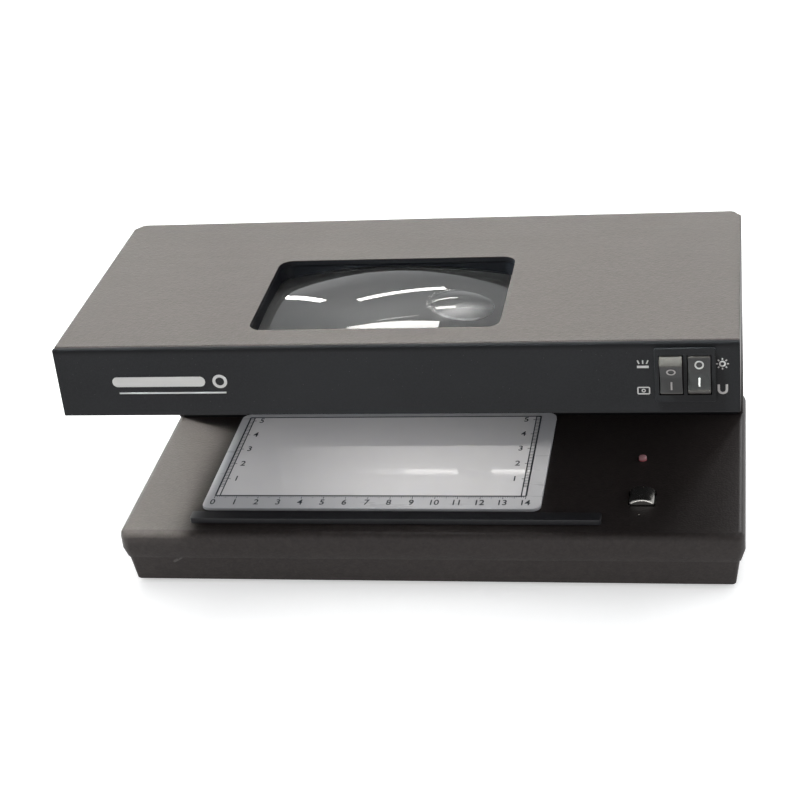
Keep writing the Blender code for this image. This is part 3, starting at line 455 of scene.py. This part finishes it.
def lens_material(name="lens_acrylic", blur=0.0, tint=1.0, clear=1.0):
    """Clear acrylic; blur, reflection tint and clearness differ on the rear face."""
    graph = Graph(name)
    graph.shader.inputs["Specular Tint"].default_value = (tint, tint, tint, 1.0)
    graph.shader.inputs["Transmission Weight"].default_value = 1.0
    graph.shader.inputs["IOR"].default_value = 1.49
    haze = graph.ramp(graph.noise(60.0, 4.0, 0.6), 0.45, 0.8)
    tones = [tuple(part * clear for part in tone) for tone in ((0.97, 0.96, 0.95), (0.93, 0.925, 0.92))]
    graph.colour(graph.mix(haze, *tones))
    graph.roughness(graph.ramp(haze, 0.0, 1.0, blur, blur + 0.02))
    graph.normal(graph.bump(graph.noise(45.0, 1.0), 0.00001))
    return graph.material


def plate_material():
    """Opal acrylic, glossy inside the printed border, greyer and duller round it."""
    graph = Graph("opal_plate")
    clouds = graph.ramp(graph.noise(30.0, 3.0), 0.3, 0.7)
    tone = graph.mix(clouds, (0.82, 0.805, 0.815), (0.85, 0.835, 0.84))
    specks = graph.ramp(graph.cells(500.0), 0.05, 0.025)
    rim = graph.outside((SCALE_ZERO_X, back(BORDER_FRONT)), (SCALE_END_X, back(BORDER_REAR)))
    tone = graph.mix(graph.times(rim, 0.55), tone, (0.36, 0.37, 0.40))
    graph.colour(graph.mix(graph.times(specks, 0.25), tone, (0.35, 0.35, 0.36)))
    scuffs = graph.noise(90.0, 4.0, 0.65, graph.stretched((0.3, 2.0, 1.0)))
    polish = graph.ramp(scuffs, 0.3, 0.75, 0.07, 0.12)
    graph.roughness(graph.maths("ADD", polish, graph.times(rim, 0.2)))
    graph.normal(graph.bump(graph.noise(700.0, 2.0), 0.000006))
    graph.shader.inputs["Subsurface Weight"].default_value = 0.25
    graph.shader.inputs["Subsurface Radius"].default_value = (0.0012, 0.0012, 0.0014)
    return graph.material


def lamp_glass_material():
    graph = Graph("lamp_glass")
    x = graph.axes()[0]
    powder = graph.ramp(graph.noise(260.0, 3.0), 0.3, 0.7)
    tone = graph.mix(powder, (0.78, 0.80, 0.86), (0.83, 0.85, 0.90))
    ends = graph.ramp(graph.maths("ABSOLUTE", x), 0.088, 0.097)
    graph.colour(graph.mix(graph.times(ends, 0.5), tone, (0.28, 0.27, 0.27)))
    graph.roughness(graph.ramp(graph.noise(40.0), 0.3, 0.7, 0.08, 0.16))
    graph.normal(graph.bump(graph.noise(30.0, 1.0), 0.00002))
    graph.shader.inputs["Coat Weight"].default_value = 0.5
    return graph.material


def metal(name, colour, roughness, brushed=(1.0, 1.0, 1.0)):
    """Plated metal: brushing along one way, cloudy tarnish and fine scratches."""
    graph = Graph(name)
    lines = graph.noise(900.0, 3.0, 0.6, graph.stretched(brushed))
    stain = graph.ramp(graph.noise(160.0, 4.0, 0.6), 0.52, 0.80)
    graph.colour(graph.mix(graph.times(stain, 0.5), colour, (0.30, 0.27, 0.22)))
    worn = graph.times(graph.maths("ADD", lines, stain), 0.5)
    graph.roughness(graph.ramp(worn, 0.1, 0.8, roughness - 0.08, roughness + 0.16))
    graph.normal(graph.bump(lines, 0.000006))
    graph.shader.inputs["Metallic"].default_value = 1.0
    return graph.material


def reflector_material():
    graph = Graph("reflector_enamel")
    drips = graph.ramp(graph.noise(80.0, 3.0), 0.3, 0.7)
    graph.colour(graph.mix(drips, (0.76, 0.76, 0.73), (0.82, 0.82, 0.80)))
    graph.roughness(graph.ramp(graph.noise(50.0, 2.0), 0.3, 0.7, 0.22, 0.34))
    graph.normal(graph.bump(graph.noise(500.0, 2.0), 0.00001))
    return graph.material


def board_material():
    """Circuit board: lacquer over a lattice of straight copper tracks, with bright pads."""
    graph = Graph("circuit_board")
    x, y = graph.axes()[:2]
    row = graph.maths("PINGPONG", y, 0.0016)
    column = graph.maths("PINGPONG", x, 0.0021)
    patch = graph.noise(90.0, 0.0)
    along = graph.ramp(row, 0.0007, 0.0009)
    across = graph.ramp(column, 0.0012, 0.0014)
    choice = graph.ramp(patch, 0.495, 0.505)
    tracks = graph.add("ShaderNodeMix")
    graph.feed(tracks.inputs[0], choice)
    graph.feed(tracks.inputs[2], along)
    graph.feed(tracks.inputs[3], across)
    tone = graph.mix(tracks.outputs[0], (0.010, 0.075, 0.026), (0.035, 0.17, 0.06))
    pads = graph.ramp(graph.cells(190.0), 0.16, 0.13)
    graph.colour(graph.mix(pads, tone, (0.55, 0.54, 0.50)))
    graph.roughness(graph.ramp(graph.noise(120.0), 0.3, 0.7, 0.22, 0.36))
    graph.normal(graph.bump(tracks.outputs[0], 0.00003))
    return graph.material


def winding_material():
    """Transformer wound with copper and wrapped in yellow tape, with steel laminations."""
    graph = Graph("tape_winding")
    z = graph.axes()[2]
    laminations = graph.ramp(graph.maths("PINGPONG", z, 0.0004), 0.0001, 0.0003)
    creases = graph.noise(300.0, 3.0, 0.6)
    tone = graph.mix(creases, (0.52, 0.38, 0.05), (0.66, 0.52, 0.10))
    graph.colour(graph.mix(graph.times(laminations, 0.3), tone, (0.25, 0.17, 0.04)))
    graph.roughness(graph.ramp(creases, 0.3, 0.7, 0.34, 0.5))
    graph.normal(graph.bump(creases, 0.00005))
    return graph.material


def led_material():
    graph = Graph("indicator_lens")
    z = graph.axes()[2]
    # painted highlight: the dome is coloured paler and pinker towards its top
    depth = graph.ramp(z, BASE_TOP - 0.0004, BASE_TOP + 0.0012)
    swirl = graph.ramp(graph.noise(900.0, 2.0), 0.3, 0.7)
    red = graph.mix(swirl, (0.38, 0.07, 0.09), (0.46, 0.10, 0.12))
    graph.colour(graph.mix(graph.times(depth, 0.6), red, (0.46, 0.32, 0.33)))
    graph.roughness(graph.ramp(swirl, 0.0, 1.0, 0.12, 0.22))
    graph.normal(graph.bump(graph.noise(1200.0), 0.00001))
    graph.shader.inputs["Subsurface Weight"].default_value = 0.4
    graph.shader.inputs["Subsurface Radius"].default_value = (0.0012, 0.0004, 0.0004)
    return graph.material


def ink_material(name, colour, worn):
    """Screen-printed ink: slightly uneven cover, with pin-holes."""
    graph = Graph(name)
    cover = graph.ramp(graph.noise(1100.0, 3.0, 0.6), 0.62, 0.75)
    graph.colour(graph.mix(graph.times(cover, 0.6), colour, worn))
    graph.roughness(graph.ramp(graph.noise(300.0, 2.0), 0.3, 0.7, 0.36, 0.48))
    graph.normal(graph.bump(graph.noise(1800.0, 2.0), 0.000008))
    graph.shader.inputs["Specular IOR Level"].default_value = 0.1
    return graph.material


# name, colour, variation, roughness, grain, depth, specular
PLAIN_MOULDINGS = {
    "rail_black": ("rail_black", (0.017, 0.017, 0.019), 0.1, 0.36, 1400.0, 0.00002, 0.5),
    # the recess finish is the lens frame's black, darkened to near black as painted shade in the window
    "recess": ("frame_black_and_painted_shade", FRAME_BLACK_AND_PAINTED_SHADE, 0.15, 0.5, 1700.0, 0.00002, 0.12),
    "holder_white": ("holder_plastic", (0.74, 0.73, 0.70), 0.04, 0.42, 1300.0, 0.00001, 0.5),
    "capacitor_sleeve": ("shrink_sleeve", (0.010, 0.014, 0.045), 0.1, 0.3, 700.0, 0.00001, 0.5),
    "foot_rubber": ("foot_rubber", (0.013, 0.013, 0.013), 0.2, 0.78, 1100.0, 0.00004, 0.3),
    "cable_black": ("cable_sleeving", (0.012, 0.012, 0.013), 0.1, 0.5, 900.0, 0.00002, 0.4),
}

MATERIAL_MAKERS = {
    "lens_rear": lambda: lens_material("lens_rear_face", 0.30, 0.0, 0.62),
    "white_ink": lambda: ink_material("white_ink", (0.28, 0.265, 0.26), (0.24, 0.24, 0.24)),
    "scale_ink": lambda: ink_material("scale_ink", (0.05, 0.055, 0.065), (0.25, 0.26, 0.28)),
    "housing": housing_material,
    "fascia_black": fascia_material,
    "switch_black": switch_material,
    "lens_clear": lens_material,
    "plate_opal": plate_material,
    "lamp_glass": lamp_glass_material,
    "nickel": lambda: metal("nickel_plate", (0.66, 0.64, 0.60), 0.22, (1.0, 0.06, 1.0)),
    "screw_steel": lambda: metal("zinc_steel", (0.56, 0.56, 0.55), 0.36),
    "reflector_white": reflector_material,
    "board_green": board_material,
    "winding_yellow": winding_material,
    "indicator_red": led_material,
}


# ---------------------------------------------------------------- shading of the CAD meshes
SMOOTH_LIMIT = 50.0              # degrees between faces that shade as one round surface
SAME_POINT = 200000              # steps in a metre for points that count as one


def smooth_normals(mesh):
    """Shades round stretches smooth and keeps flats flat: each plane counts by its whole area."""
    faces = len(mesh.polygons)
    normals = np.zeros(faces * 3)
    areas = np.zeros(faces)
    centres = np.zeros(faces * 3)
    mesh.polygons.foreach_get("normal", normals)
    mesh.polygons.foreach_get("area", areas)
    mesh.polygons.foreach_get("center", centres)
    normals, centres = normals.reshape(-1, 3), centres.reshape(-1, 3)
    offsets = (normals * centres).sum(1)
    planes = [tuple(row) for row in np.round(np.c_[normals * 100, offsets * 20000]).astype(int)]
    plane_area = {}
    for plane, area in zip(planes, areas):
        plane_area[plane] = plane_area.get(plane, 0.0) + area
    corners = {}
    for polygon in mesh.polygons:
        for vertex in polygon.vertices:
            key = tuple(round(part * SAME_POINT) for part in mesh.vertices[vertex].co)
            corners.setdefault(key, {})[planes[polygon.index]] = polygon.index
    limit = math.cos(math.radians(SMOOTH_LIMIT))
    result = []
    for polygon in mesh.polygons:
        own = normals[polygon.index]
        for vertex in polygon.vertices:
            key = tuple(round(part * SAME_POINT) for part in mesh.vertices[vertex].co)
            total = own * 1e-12
            for plane, face in corners[key].items():
                if normals[face] @ own > limit:
                    total = total + normals[face] * plane_area[plane]
            result.append(Vector(total).normalized())
    mesh.shade_smooth()
    mesh.normals_split_custom_set(result)


# nodes that differ in finish from their slot
SPECIAL_FINISH = {
    "lens_frame": "recess",
    "switch_body": "fascia_black",
    "stop_rail": "rail_black",
}


def dress_cad_nodes():
    """Gives each CAD node the material of its slot, or its special finish, and fine shading."""
    slots = {part["node"]: part["material_slot"] for part in RECORD["subparts"]}
    for name, item in NODES.items():
        item.data.materials.clear()
        item.data.materials.append(MATERIALS[SPECIAL_FINISH.get(name, slots[name])])
        smooth_normals(item.data)


# ---------------------------------------------------------------- making of fine pieces
def new_piece(name, vertices, faces, slot, crease, body="body"):
    """Closed mesh with its faces turned outwards, a slot's finish and a body to ride on."""
    mesh = bpy.data.meshes.new(name)
    mesh.from_pydata([tuple(place) for place in vertices], [], faces)
    shell = bmesh.new()
    shell.from_mesh(mesh)
    bmesh.ops.remove_doubles(shell, verts=shell.verts, dist=1e-7)
    bmesh.ops.recalc_face_normals(shell, faces=shell.faces)
    shell.to_mesh(mesh)
    shell.free()
    mesh.shade_smooth()
    mesh.set_sharp_from_angle(angle=math.radians(crease))
    piece = bpy.data.objects.new(name, mesh)
    bpy.context.scene.collection.objects.link(piece)
    piece.data.materials.append(MATERIALS[slot])
    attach(piece, body)
    return piece


def loft(rings, closed_ends=True):
    """Faces between equal rings of points, with both ends closed if so wanted."""
    count = len(rings[0])
    vertices = [place for ring in rings for place in ring]
    faces = []
    for level in range(len(rings) - 1):
        low, high = level * count, (level + 1) * count
        for index in range(count):
            after = (index + 1) % count
            faces.append((low + index, low + after, high + after, high + index))
    if closed_ends:
        faces.append(tuple(range(count)))
        faces.append(tuple(reversed(range(len(vertices) - count, len(vertices)))))
    return vertices, faces


def rounded_edge(radius, steps):
    """Pairs of a distance from the end and an inset, round a quarter circle."""
    turns = [math.pi / 2 * step / steps for step in range(steps + 1)]
    return [(radius * (1 - math.cos(turn)), radius * (1 - math.sin(turn))) for turn in turns]


def rounded_rectangle(low, high, radius, steps=10):
    """Outline of a flat rectangle with round corners, counter-clockwise."""
    corners = [
        (high[0] - radius, high[1] - radius, 0.0),
        (low[0] + radius, high[1] - radius, 90.0),
        (low[0] + radius, low[1] + radius, 180.0),
        (high[0] - radius, low[1] + radius, 270.0),
    ]
    outline = []
    for x, y, start in corners:
        for step in range(steps + 1):
            angle = math.radians(start + 90.0 * step / steps)
            outline.append((x + radius * math.cos(angle), y + radius * math.sin(angle)))
    return outline


def by_length(outline, count):
    """Points at equal steps along a closed outline."""
    points = np.array(outline + outline[:1])
    lengths = np.concatenate([[0.0], np.cumsum(np.linalg.norm(np.diff(points, axis=0), axis=1))])
    wanted = np.linspace(0.0, lengths[-1], count, endpoint=False)
    return list(zip(np.interp(wanted, lengths, points[:, 0]), np.interp(wanted, lengths, points[:, 1])))


# ---------------------------------------------------------------- magnifier
LENS_DOME = 0.232
LENS_CORNER = 0.0052
SPOT = (0.025, 0.042)            # X, and distance behind the fascia
SPOT_RADIUS = 0.0125
SPOT_RISE = 0.0011
SPOT_STEP = 0.00012


def magnifier_lens():
    """Domed lens with the small high-power dome on it, as one finely turned surface."""
    spot = (SPOT[0], back(SPOT[1]))
    sphere = (SPOT_RADIUS ** 2 + SPOT_RISE ** 2) / (2 * SPOT_RISE)
    outline = by_length(rounded_rectangle(LENS_LOW[:2], LENS_HIGH[:2], LENS_CORNER), 240)

    def height(x, y):
        away = (x - LENS_MIDDLE.x) ** 2 + (y - LENS_MIDDLE.y) ** 2
        level = LENS_HIGH.z - LENS_DOME + math.sqrt(LENS_DOME ** 2 - away)
        near = math.hypot(x - spot[0], y - spot[1])
        if near < SPOT_RADIUS:
            level += SPOT_STEP + math.sqrt(sphere ** 2 - near ** 2) - (sphere - SPOT_RISE)
        return level

    shoulder = 0.0003
    foot = SPOT_RADIUS * 1.008               # where the small dome meets the large one
    rings = [[(x, y, LENS_LOW.z) for x, y in outline]]
    rings.append([(x, y, height(x, y) - shoulder) for x, y in outline])
    outer = [("rim", 1.0 - step / 44) for step in range(44)]
    inner = [("spot", share) for share in [1.0, 0.992] + [step / 12 for step in range(11, 0, -1)]]
    for kind, share in outer + inner:
        ring = []
        for x, y in outline:
            dx, dy = x - spot[0], y - spot[1]
            reach = math.hypot(dx, dy)
            if kind == "spot":
                radius = SPOT_RADIUS * share
            else:
                radius = foot + (reach - shoulder - foot) * share
            px, py = spot[0] + dx / reach * radius, spot[1] + dy / reach * radius
            ring.append((px, py, height(px, py)))
        rings.append(ring)
    vertices, faces = loft(rings, closed_ends=False)
    faces.append(tuple(range(len(outline))))
    tip = len(vertices)
    vertices.append((spot[0], spot[1], height(*spot)))
    last = tip - len(outline)
    for index in range(len(outline)):
        faces.append((last + index, last + (index + 1) % len(outline), tip))
    lens = new_piece("magnifier_lens_fine", vertices, faces, "lens_clear", 60.0)
    lens.data.materials.append(MATERIALS["lens_rear"])
    for face in lens.data.polygons:
        if face.normal.z < -0.9:
            face.material_index = 1          # the flat rear face
    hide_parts("magnifier_lens")
    return lens


# ---------------------------------------------------------------- printed marks
PRINT_SINK = 0.00002             # how far a print reaches into its surface
NUMERAL_WIDTH = 0.80             # share of the font's own width


def stroke(points, width, closed=False):
    """Outline pairs of a line of even width along flat points."""
    count = len(points)
    sides = []
    for index, here in enumerate(points):
        before = points[(index - 1) % count] if closed or index else here
        after = points[(index + 1) % count] if closed or index < count - 1 else here
        along = Vector(after) - Vector(before)
        across = Vector((-along.y, along.x)).normalized() * (width / 2)
        sides.append((Vector(here) + across, Vector(here) - across))
    return sides


class Print:
    """Flat printed shapes gathered into one thin mesh on a plane."""

    def __init__(self, origin, right, up, lift):
        self.origin, self.right, self.up = Vector(origin), Vector(right), Vector(up)
        self.out = self.right.cross(self.up).normalized()
        self.lift = lift
        self.vertices, self.faces = [], []

    def spot(self, point, level):
        return self.origin + self.right * point[0] + self.up * point[1] + self.out * level

    def shape(self, outline):
        """Thin slab with a convex flat outline."""
        start, count = len(self.vertices), len(outline)
        for level in (-PRINT_SINK, self.lift):
            self.vertices += [self.spot(point, level) for point in outline]
        self.faces.append(tuple(reversed(range(start, start + count))))
        self.faces.append(tuple(range(start + count, start + 2 * count)))
        for index in range(count):
            after = (index + 1) % count
            near, far = start + index, start + after
            self.faces.append((near, far, far + count, near + count))

    def line(self, points, width, closed=False):
        sides = stroke([Vector(point) for point in points], width, closed)
        pairs = list(zip(sides, sides[1:] + sides[:1])) if closed else list(zip(sides, sides[1:]))
        for (left, right), (next_left, next_right) in pairs:
            self.shape([left, right, next_right, next_left])

    def circle(self, centre, radius, width, steps=36):
        ring = []
        for step in range(steps):
            angle = math.tau * step / steps
            ring.append((centre[0] + radius * math.cos(angle), centre[1] + radius * math.sin(angle)))
        self.line(ring, width, closed=True)

    def numeral(self, text, centre, height):
        curve = bpy.data.curves.new("numeral", "FONT")
        curve.body = text
        curve.size = height * 1.36
        curve.align_x = "CENTER"
        curve.align_y = "CENTER"
        curve.resolution_u = 3
        curve.offset = height * 0.02
        item = bpy.data.objects.new("numeral", curve)
        bpy.context.scene.collection.objects.link(item)
        bpy.context.view_layer.update()
        mesh = item.to_mesh()
        start = len(self.vertices)
        for vertex in mesh.vertices:
            place = (centre[0] + vertex.co.x * NUMERAL_WIDTH, centre[1] + vertex.co.y)
            self.vertices.append(self.spot(place, self.lift))
        self.faces += [tuple(start + index for index in face.vertices) for face in mesh.polygons]
        item.to_mesh_clear()
        bpy.data.objects.remove(item)
        bpy.data.curves.remove(curve)

    def finish(self, name, slot, body="body"):
        mesh = bpy.data.meshes.new(name)
        mesh.from_pydata([tuple(place) for place in self.vertices], [], self.faces)
        piece = bpy.data.objects.new(name, mesh)
        bpy.context.scene.collection.objects.link(piece)
        piece.data.materials.append(MATERIALS[slot])
        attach(piece, body)


SCALE_LIFT = 0.00004
SCALE_LINE = 0.00075
SIDE_FIRST = 0.0766              # distance of the side scales' 1 behind the fascia
SIDE_STEP = 0.01335
NUMERAL_HEIGHT = 0.0044


def plate_scale():
    """Centimetre scale printed round the light plate: numbers in front and up both sides."""
    ink = Print((0, 0, PLATE_TOP), (1, 0, 0), (0, 1, 0), SCALE_LIFT)
    left, right = SCALE_ZERO_X, SCALE_END_X
    front, rear = back(BORDER_FRONT), back(BORDER_REAR)
    ink.line([(left, front), (right, front)], SCALE_LINE)
    ink.line([(left, rear), (left, front)], SCALE_LINE)
    ink.line([(right, front), (right, rear)], SCALE_LINE)
    ink.line([(left, rear), (right, rear)], SCALE_LINE)
    inner = 0.0021
    ink.line([(right - inner, front), (right - inner, rear)], SCALE_LINE * 0.7)
    ink.line([(left + inner, front), (left + inner, rear)], SCALE_LINE * 0.7)
    for mark in range(SCALE_LAST * 10 + 1):
        x = left + mark * SCALE_STEP / 10
        length = 0.0012
        if mark % 5 == 0:
            length = 0.0018
        if mark % 10 == 0:
            length = 0.0024
            ink.numeral(str(mark // 10), (x, front - 0.0056), NUMERAL_HEIGHT)
        ink.line([(x, front), (x, front - length)], 0.00030)
    for mark in range(5, 60):
        y = back(SIDE_FIRST + (mark / 10 - 1) * SIDE_STEP)
        length = 0.0021 if mark % 10 else 0.0034
        if mark % 10 == 0:
            for x in (left + 0.0062, right - 0.0066):
                ink.numeral(str(mark // 10), (x, y), NUMERAL_HEIGHT)
        if y < rear:
            ink.line([(left, y), (left + length, y)], 0.00034)
            ink.line([(right, y), (right - length, y)], 0.00034)
    ink.finish("plate_scale_print", "scale_ink")


FASCIA_LIFT = 0.00005
MARK_LEFT, MARK_RIGHT = -0.1120, -0.0646     # X of the ends of the mark on the left
SIGNS_LEFT, SIGNS_RIGHT = 0.0987, 0.1284     # X of the two columns of signs


def fascia_print():
    """White marks on the fascia: a plain bar on the left, and four signs beside the switch."""
    ink = Print((0, FASCIA_Y, 0), (1, 0, 0), (0, 0, 1), FASCIA_LIFT)
    top = HEAD_TOP
    middle, half = top - 0.0146, 0.0022
    ink.shape(rounded_rectangle((MARK_LEFT, middle - half), (MARK_RIGHT - 0.0090, middle + half), half))
    ink.circle((MARK_RIGHT - 0.0030, middle), 0.0024, 0.0012)
    ink.line([(MARK_LEFT + 0.0022, middle - 0.0050), (MARK_RIGHT - 0.0010, middle - 0.0050)], 0.0007)

    x, z = SIGNS_LEFT, top - 0.0094          # rays that rise from a tube
    ink.line([(x - 0.0022, z - 0.0006), (x + 0.0022, z - 0.0006)], 0.0010)
    for lean in (-1, 0, 1):
        foot = (x + lean * 0.0014, z + 0.0007)
        ink.line([foot, (foot[0] + lean * 0.0006, z + 0.0022)], 0.0005)
    z = top - 0.0202                         # a note with a ring in its middle
    ink.line(rounded_rectangle((x - 0.0022, z - 0.0014), (x + 0.0022, z + 0.0014), 0.0004, 3), 0.0005, True)
    ink.circle((x, z), 0.0006, 0.0004, 16)

    x, z = SIGNS_RIGHT, top - 0.0090         # a lamp with eight rays
    ink.circle((x, z), 0.0010, 0.0006, 20)
    for ray in range(8):
        turn = math.tau * ray / 8
        way = Vector((math.cos(turn), math.sin(turn)))
        ink.line([Vector((x, z)) + way * 0.0017, Vector((x, z)) + way * 0.0024], 0.0005)
    z, reach = top - 0.0200, 0.0015          # a horseshoe magnet
    arch = [(x - reach, z + 0.0022), (x - reach, z)]
    for step in range(1, 12):
        angle = math.pi + math.pi * step / 12
        arch.append((x + reach * math.cos(angle), z + reach * math.sin(angle)))
    arch += [(x + reach, z), (x + reach, z + 0.0022)]
    ink.line(arch, 0.0009)
    ink.finish("fascia_marks", "white_ink")


# ---------------------------------------------------------------- rockers
ROCKER_WIDTH = 0.0086
ROCKER_FLUSH = 0.0046            # from the pivot to the plane of the pressed half
ROCKER_TILT = 12.0
ROCKER_EDGE = 0.00045
ROCKER_LIFT = 0.00006
ROCKER_TIP = math.acos(ROCKER_FLUSH / ROCKER_RADIUS) - math.radians(ROCKER_TILT)
ROCKER_VALLEY = -ROCKER_FLUSH / math.cos(math.radians(ROCKER_TILT))
TIP_Y = -ROCKER_RADIUS * math.cos(ROCKER_TIP)
TIP_Z = ROCKER_RADIUS * math.sin(ROCKER_TIP)


def rocker_profile():
    """Front with a soft valley, round ends and a blunt back, about the pivot."""
    upper = []
    for share in (0.03, 0.08, 0.2, 0.4, 0.6, 0.8, 0.93):
        scoop = 0.00016 * math.sin(math.pi * share)
        upper.append((ROCKER_VALLEY + (TIP_Y - ROCKER_VALLEY) * share + scoop, TIP_Z * share))
    shoulder = math.radians(80.0)
    for step in range(19):
        angle = ROCKER_TIP + (shoulder - ROCKER_TIP) * step / 18
        radius = ROCKER_RADIUS - (0.00012 if step == 0 else 0.0)
        upper.append((-radius * math.cos(angle), radius * math.sin(angle)))
    upper.append((0.0026, 0.0040))
    lower = [(y, -z) for y, z in reversed(upper)]
    return [(ROCKER_VALLEY - 0.00004, 0.0)] + upper + lower


def rocker(joint_name, node, body, tilt):
    """Rocker with rounded edges, and its two white marks on the faces."""
    pivot = Vector(JOINTS[joint_name]["pos_m"])
    turn = Matrix.Rotation(math.radians(tilt), 3, "X")
    outline = rocker_profile()
    half = ROCKER_WIDTH / 2
    levels = [(x - half, inset) for x, inset in rounded_edge(ROCKER_EDGE, 5)]
    levels += [(-x, inset) for x, inset in reversed(levels)]
    made = []
    for x, inset in levels:
        ring = []
        for y, z in outline:
            reach = math.hypot(y, z)
            scale = (reach - inset) / reach
            ring.append(pivot + turn @ Vector((x, y * scale, z * scale)))
        made.append(ring)
    vertices, faces = loft(made)
    piece = new_piece(node + "_fine", vertices, faces, "switch_black", 35.0, body)
    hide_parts(node)

    valley = Vector((0.0, ROCKER_VALLEY, 0.0))
    for side, mark in ((1, "ring"), (-1, "line")):
        end = Vector((0.0, TIP_Y, side * TIP_Z))
        middle = pivot + turn @ (valley.lerp(end, 0.5))
        up = (turn @ (end - valley)).normalized() * side
        print_face = Print(middle, (1, 0, 0), up, ROCKER_LIFT)
        if mark == "ring":
            print_face.circle((0.0, 0.0), 0.00148, 0.00058)
        else:
            print_face.line([(0.0, -0.0017), (0.0, 0.0017)], 0.00066)
        print_face.finish(node + "_mark_" + mark, "white_ink", body)


# ---------------------------------------------------------------- small parts on the base
def indicator():
    """Domed red indicator standing in its hole."""
    low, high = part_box("status_led")
    middle = (low + high) / 2
    radius = (high.x - low.x) / 2 - 0.00030
    rings = []
    crown, top = radius * 0.45, high.z + 0.0006     # height of the domed end, and its top
    profile = [(radius, low.z), (radius, top - crown)]
    for step in range(1, 12):
        angle = math.pi / 2 * step / 12
        profile.append((radius * math.cos(angle), top - crown + crown * math.sin(angle)))
    for reach, z in profile:
        ring = []
        for step in range(40):
            angle = math.tau * step / 40
            ring.append((middle.x + reach * math.cos(angle), middle.y + reach * math.sin(angle), z))
        rings.append(ring)
    vertices, faces = loft(rings)
    led = new_piece("status_led_dome", vertices, faces, "indicator_red", 50.0)
    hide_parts("status_led")


MAGNET_FRONT = 0.0575            # distances behind the fascia
MAGNET_REAR = 0.0694
MAGNET_HALF = 0.0052             # half of its width
MAGNET_SUNK = 0.0010             # depth of its foot in the base
MAGNET_SIDE = 0.0012             # height of the side edges above the base
MAGNET_CROWN = 0.0029


def magnetic_head():
    """Sensor head: a plated arch across the width, with softened front and rear edges."""
    low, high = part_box("magnetic_head")
    middle, half = (low.x + high.x) / 2, MAGNET_HALF
    rise = MAGNET_CROWN - MAGNET_SIDE
    bow = (half ** 2 + rise ** 2) / (2 * rise)
    outline = [(-half, -MAGNET_SUNK)]
    for step in range(25):
        x = -half + 2 * half * step / 24
        arch = math.sqrt(bow ** 2 - x ** 2) - (bow - rise)
        outline.append((x, MAGNET_SIDE + arch))
    outline.append((half, -MAGNET_SUNK))
    rings = []
    stations = [(MAGNET_FRONT + away, inset * 0.9) for away, inset in rounded_edge(0.0007, 6)]
    stations += [(MAGNET_FRONT + MAGNET_REAR - away, inset) for away, inset in reversed(stations)]
    for away, inset in stations:
        ring = []
        for x, z in outline:
            share = (half - inset) / half
            top = z - inset if z > 0 else z
            ring.append((middle + x * share, back(away), BASE_TOP + top))
        rings.append(ring)
    vertices, faces = loft(rings)
    piece = new_piece("magnetic_head_fine", vertices, faces, "nickel", 30.0)
    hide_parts("magnetic_head")
    return piece


# ---------------------------------------------------------------- assembly of the scene
make_camera()
MATERIALS = {slot: maker() for slot, maker in MATERIAL_MAKERS.items()}
MATERIALS.update({slot: moulded(*recipe).material for slot, recipe in PLAIN_MOULDINGS.items()})
dress_cad_nodes()
make_studio(magnifier_lens(), magnetic_head())
plate_scale()
fascia_print()
rocker("uv_rocker_tilt", "uv_rocker", "uv_switch", ROCKER_TILT)
rocker("light_rocker_tilt", "light_rocker", "light_switch", -ROCKER_TILT)
indicator()
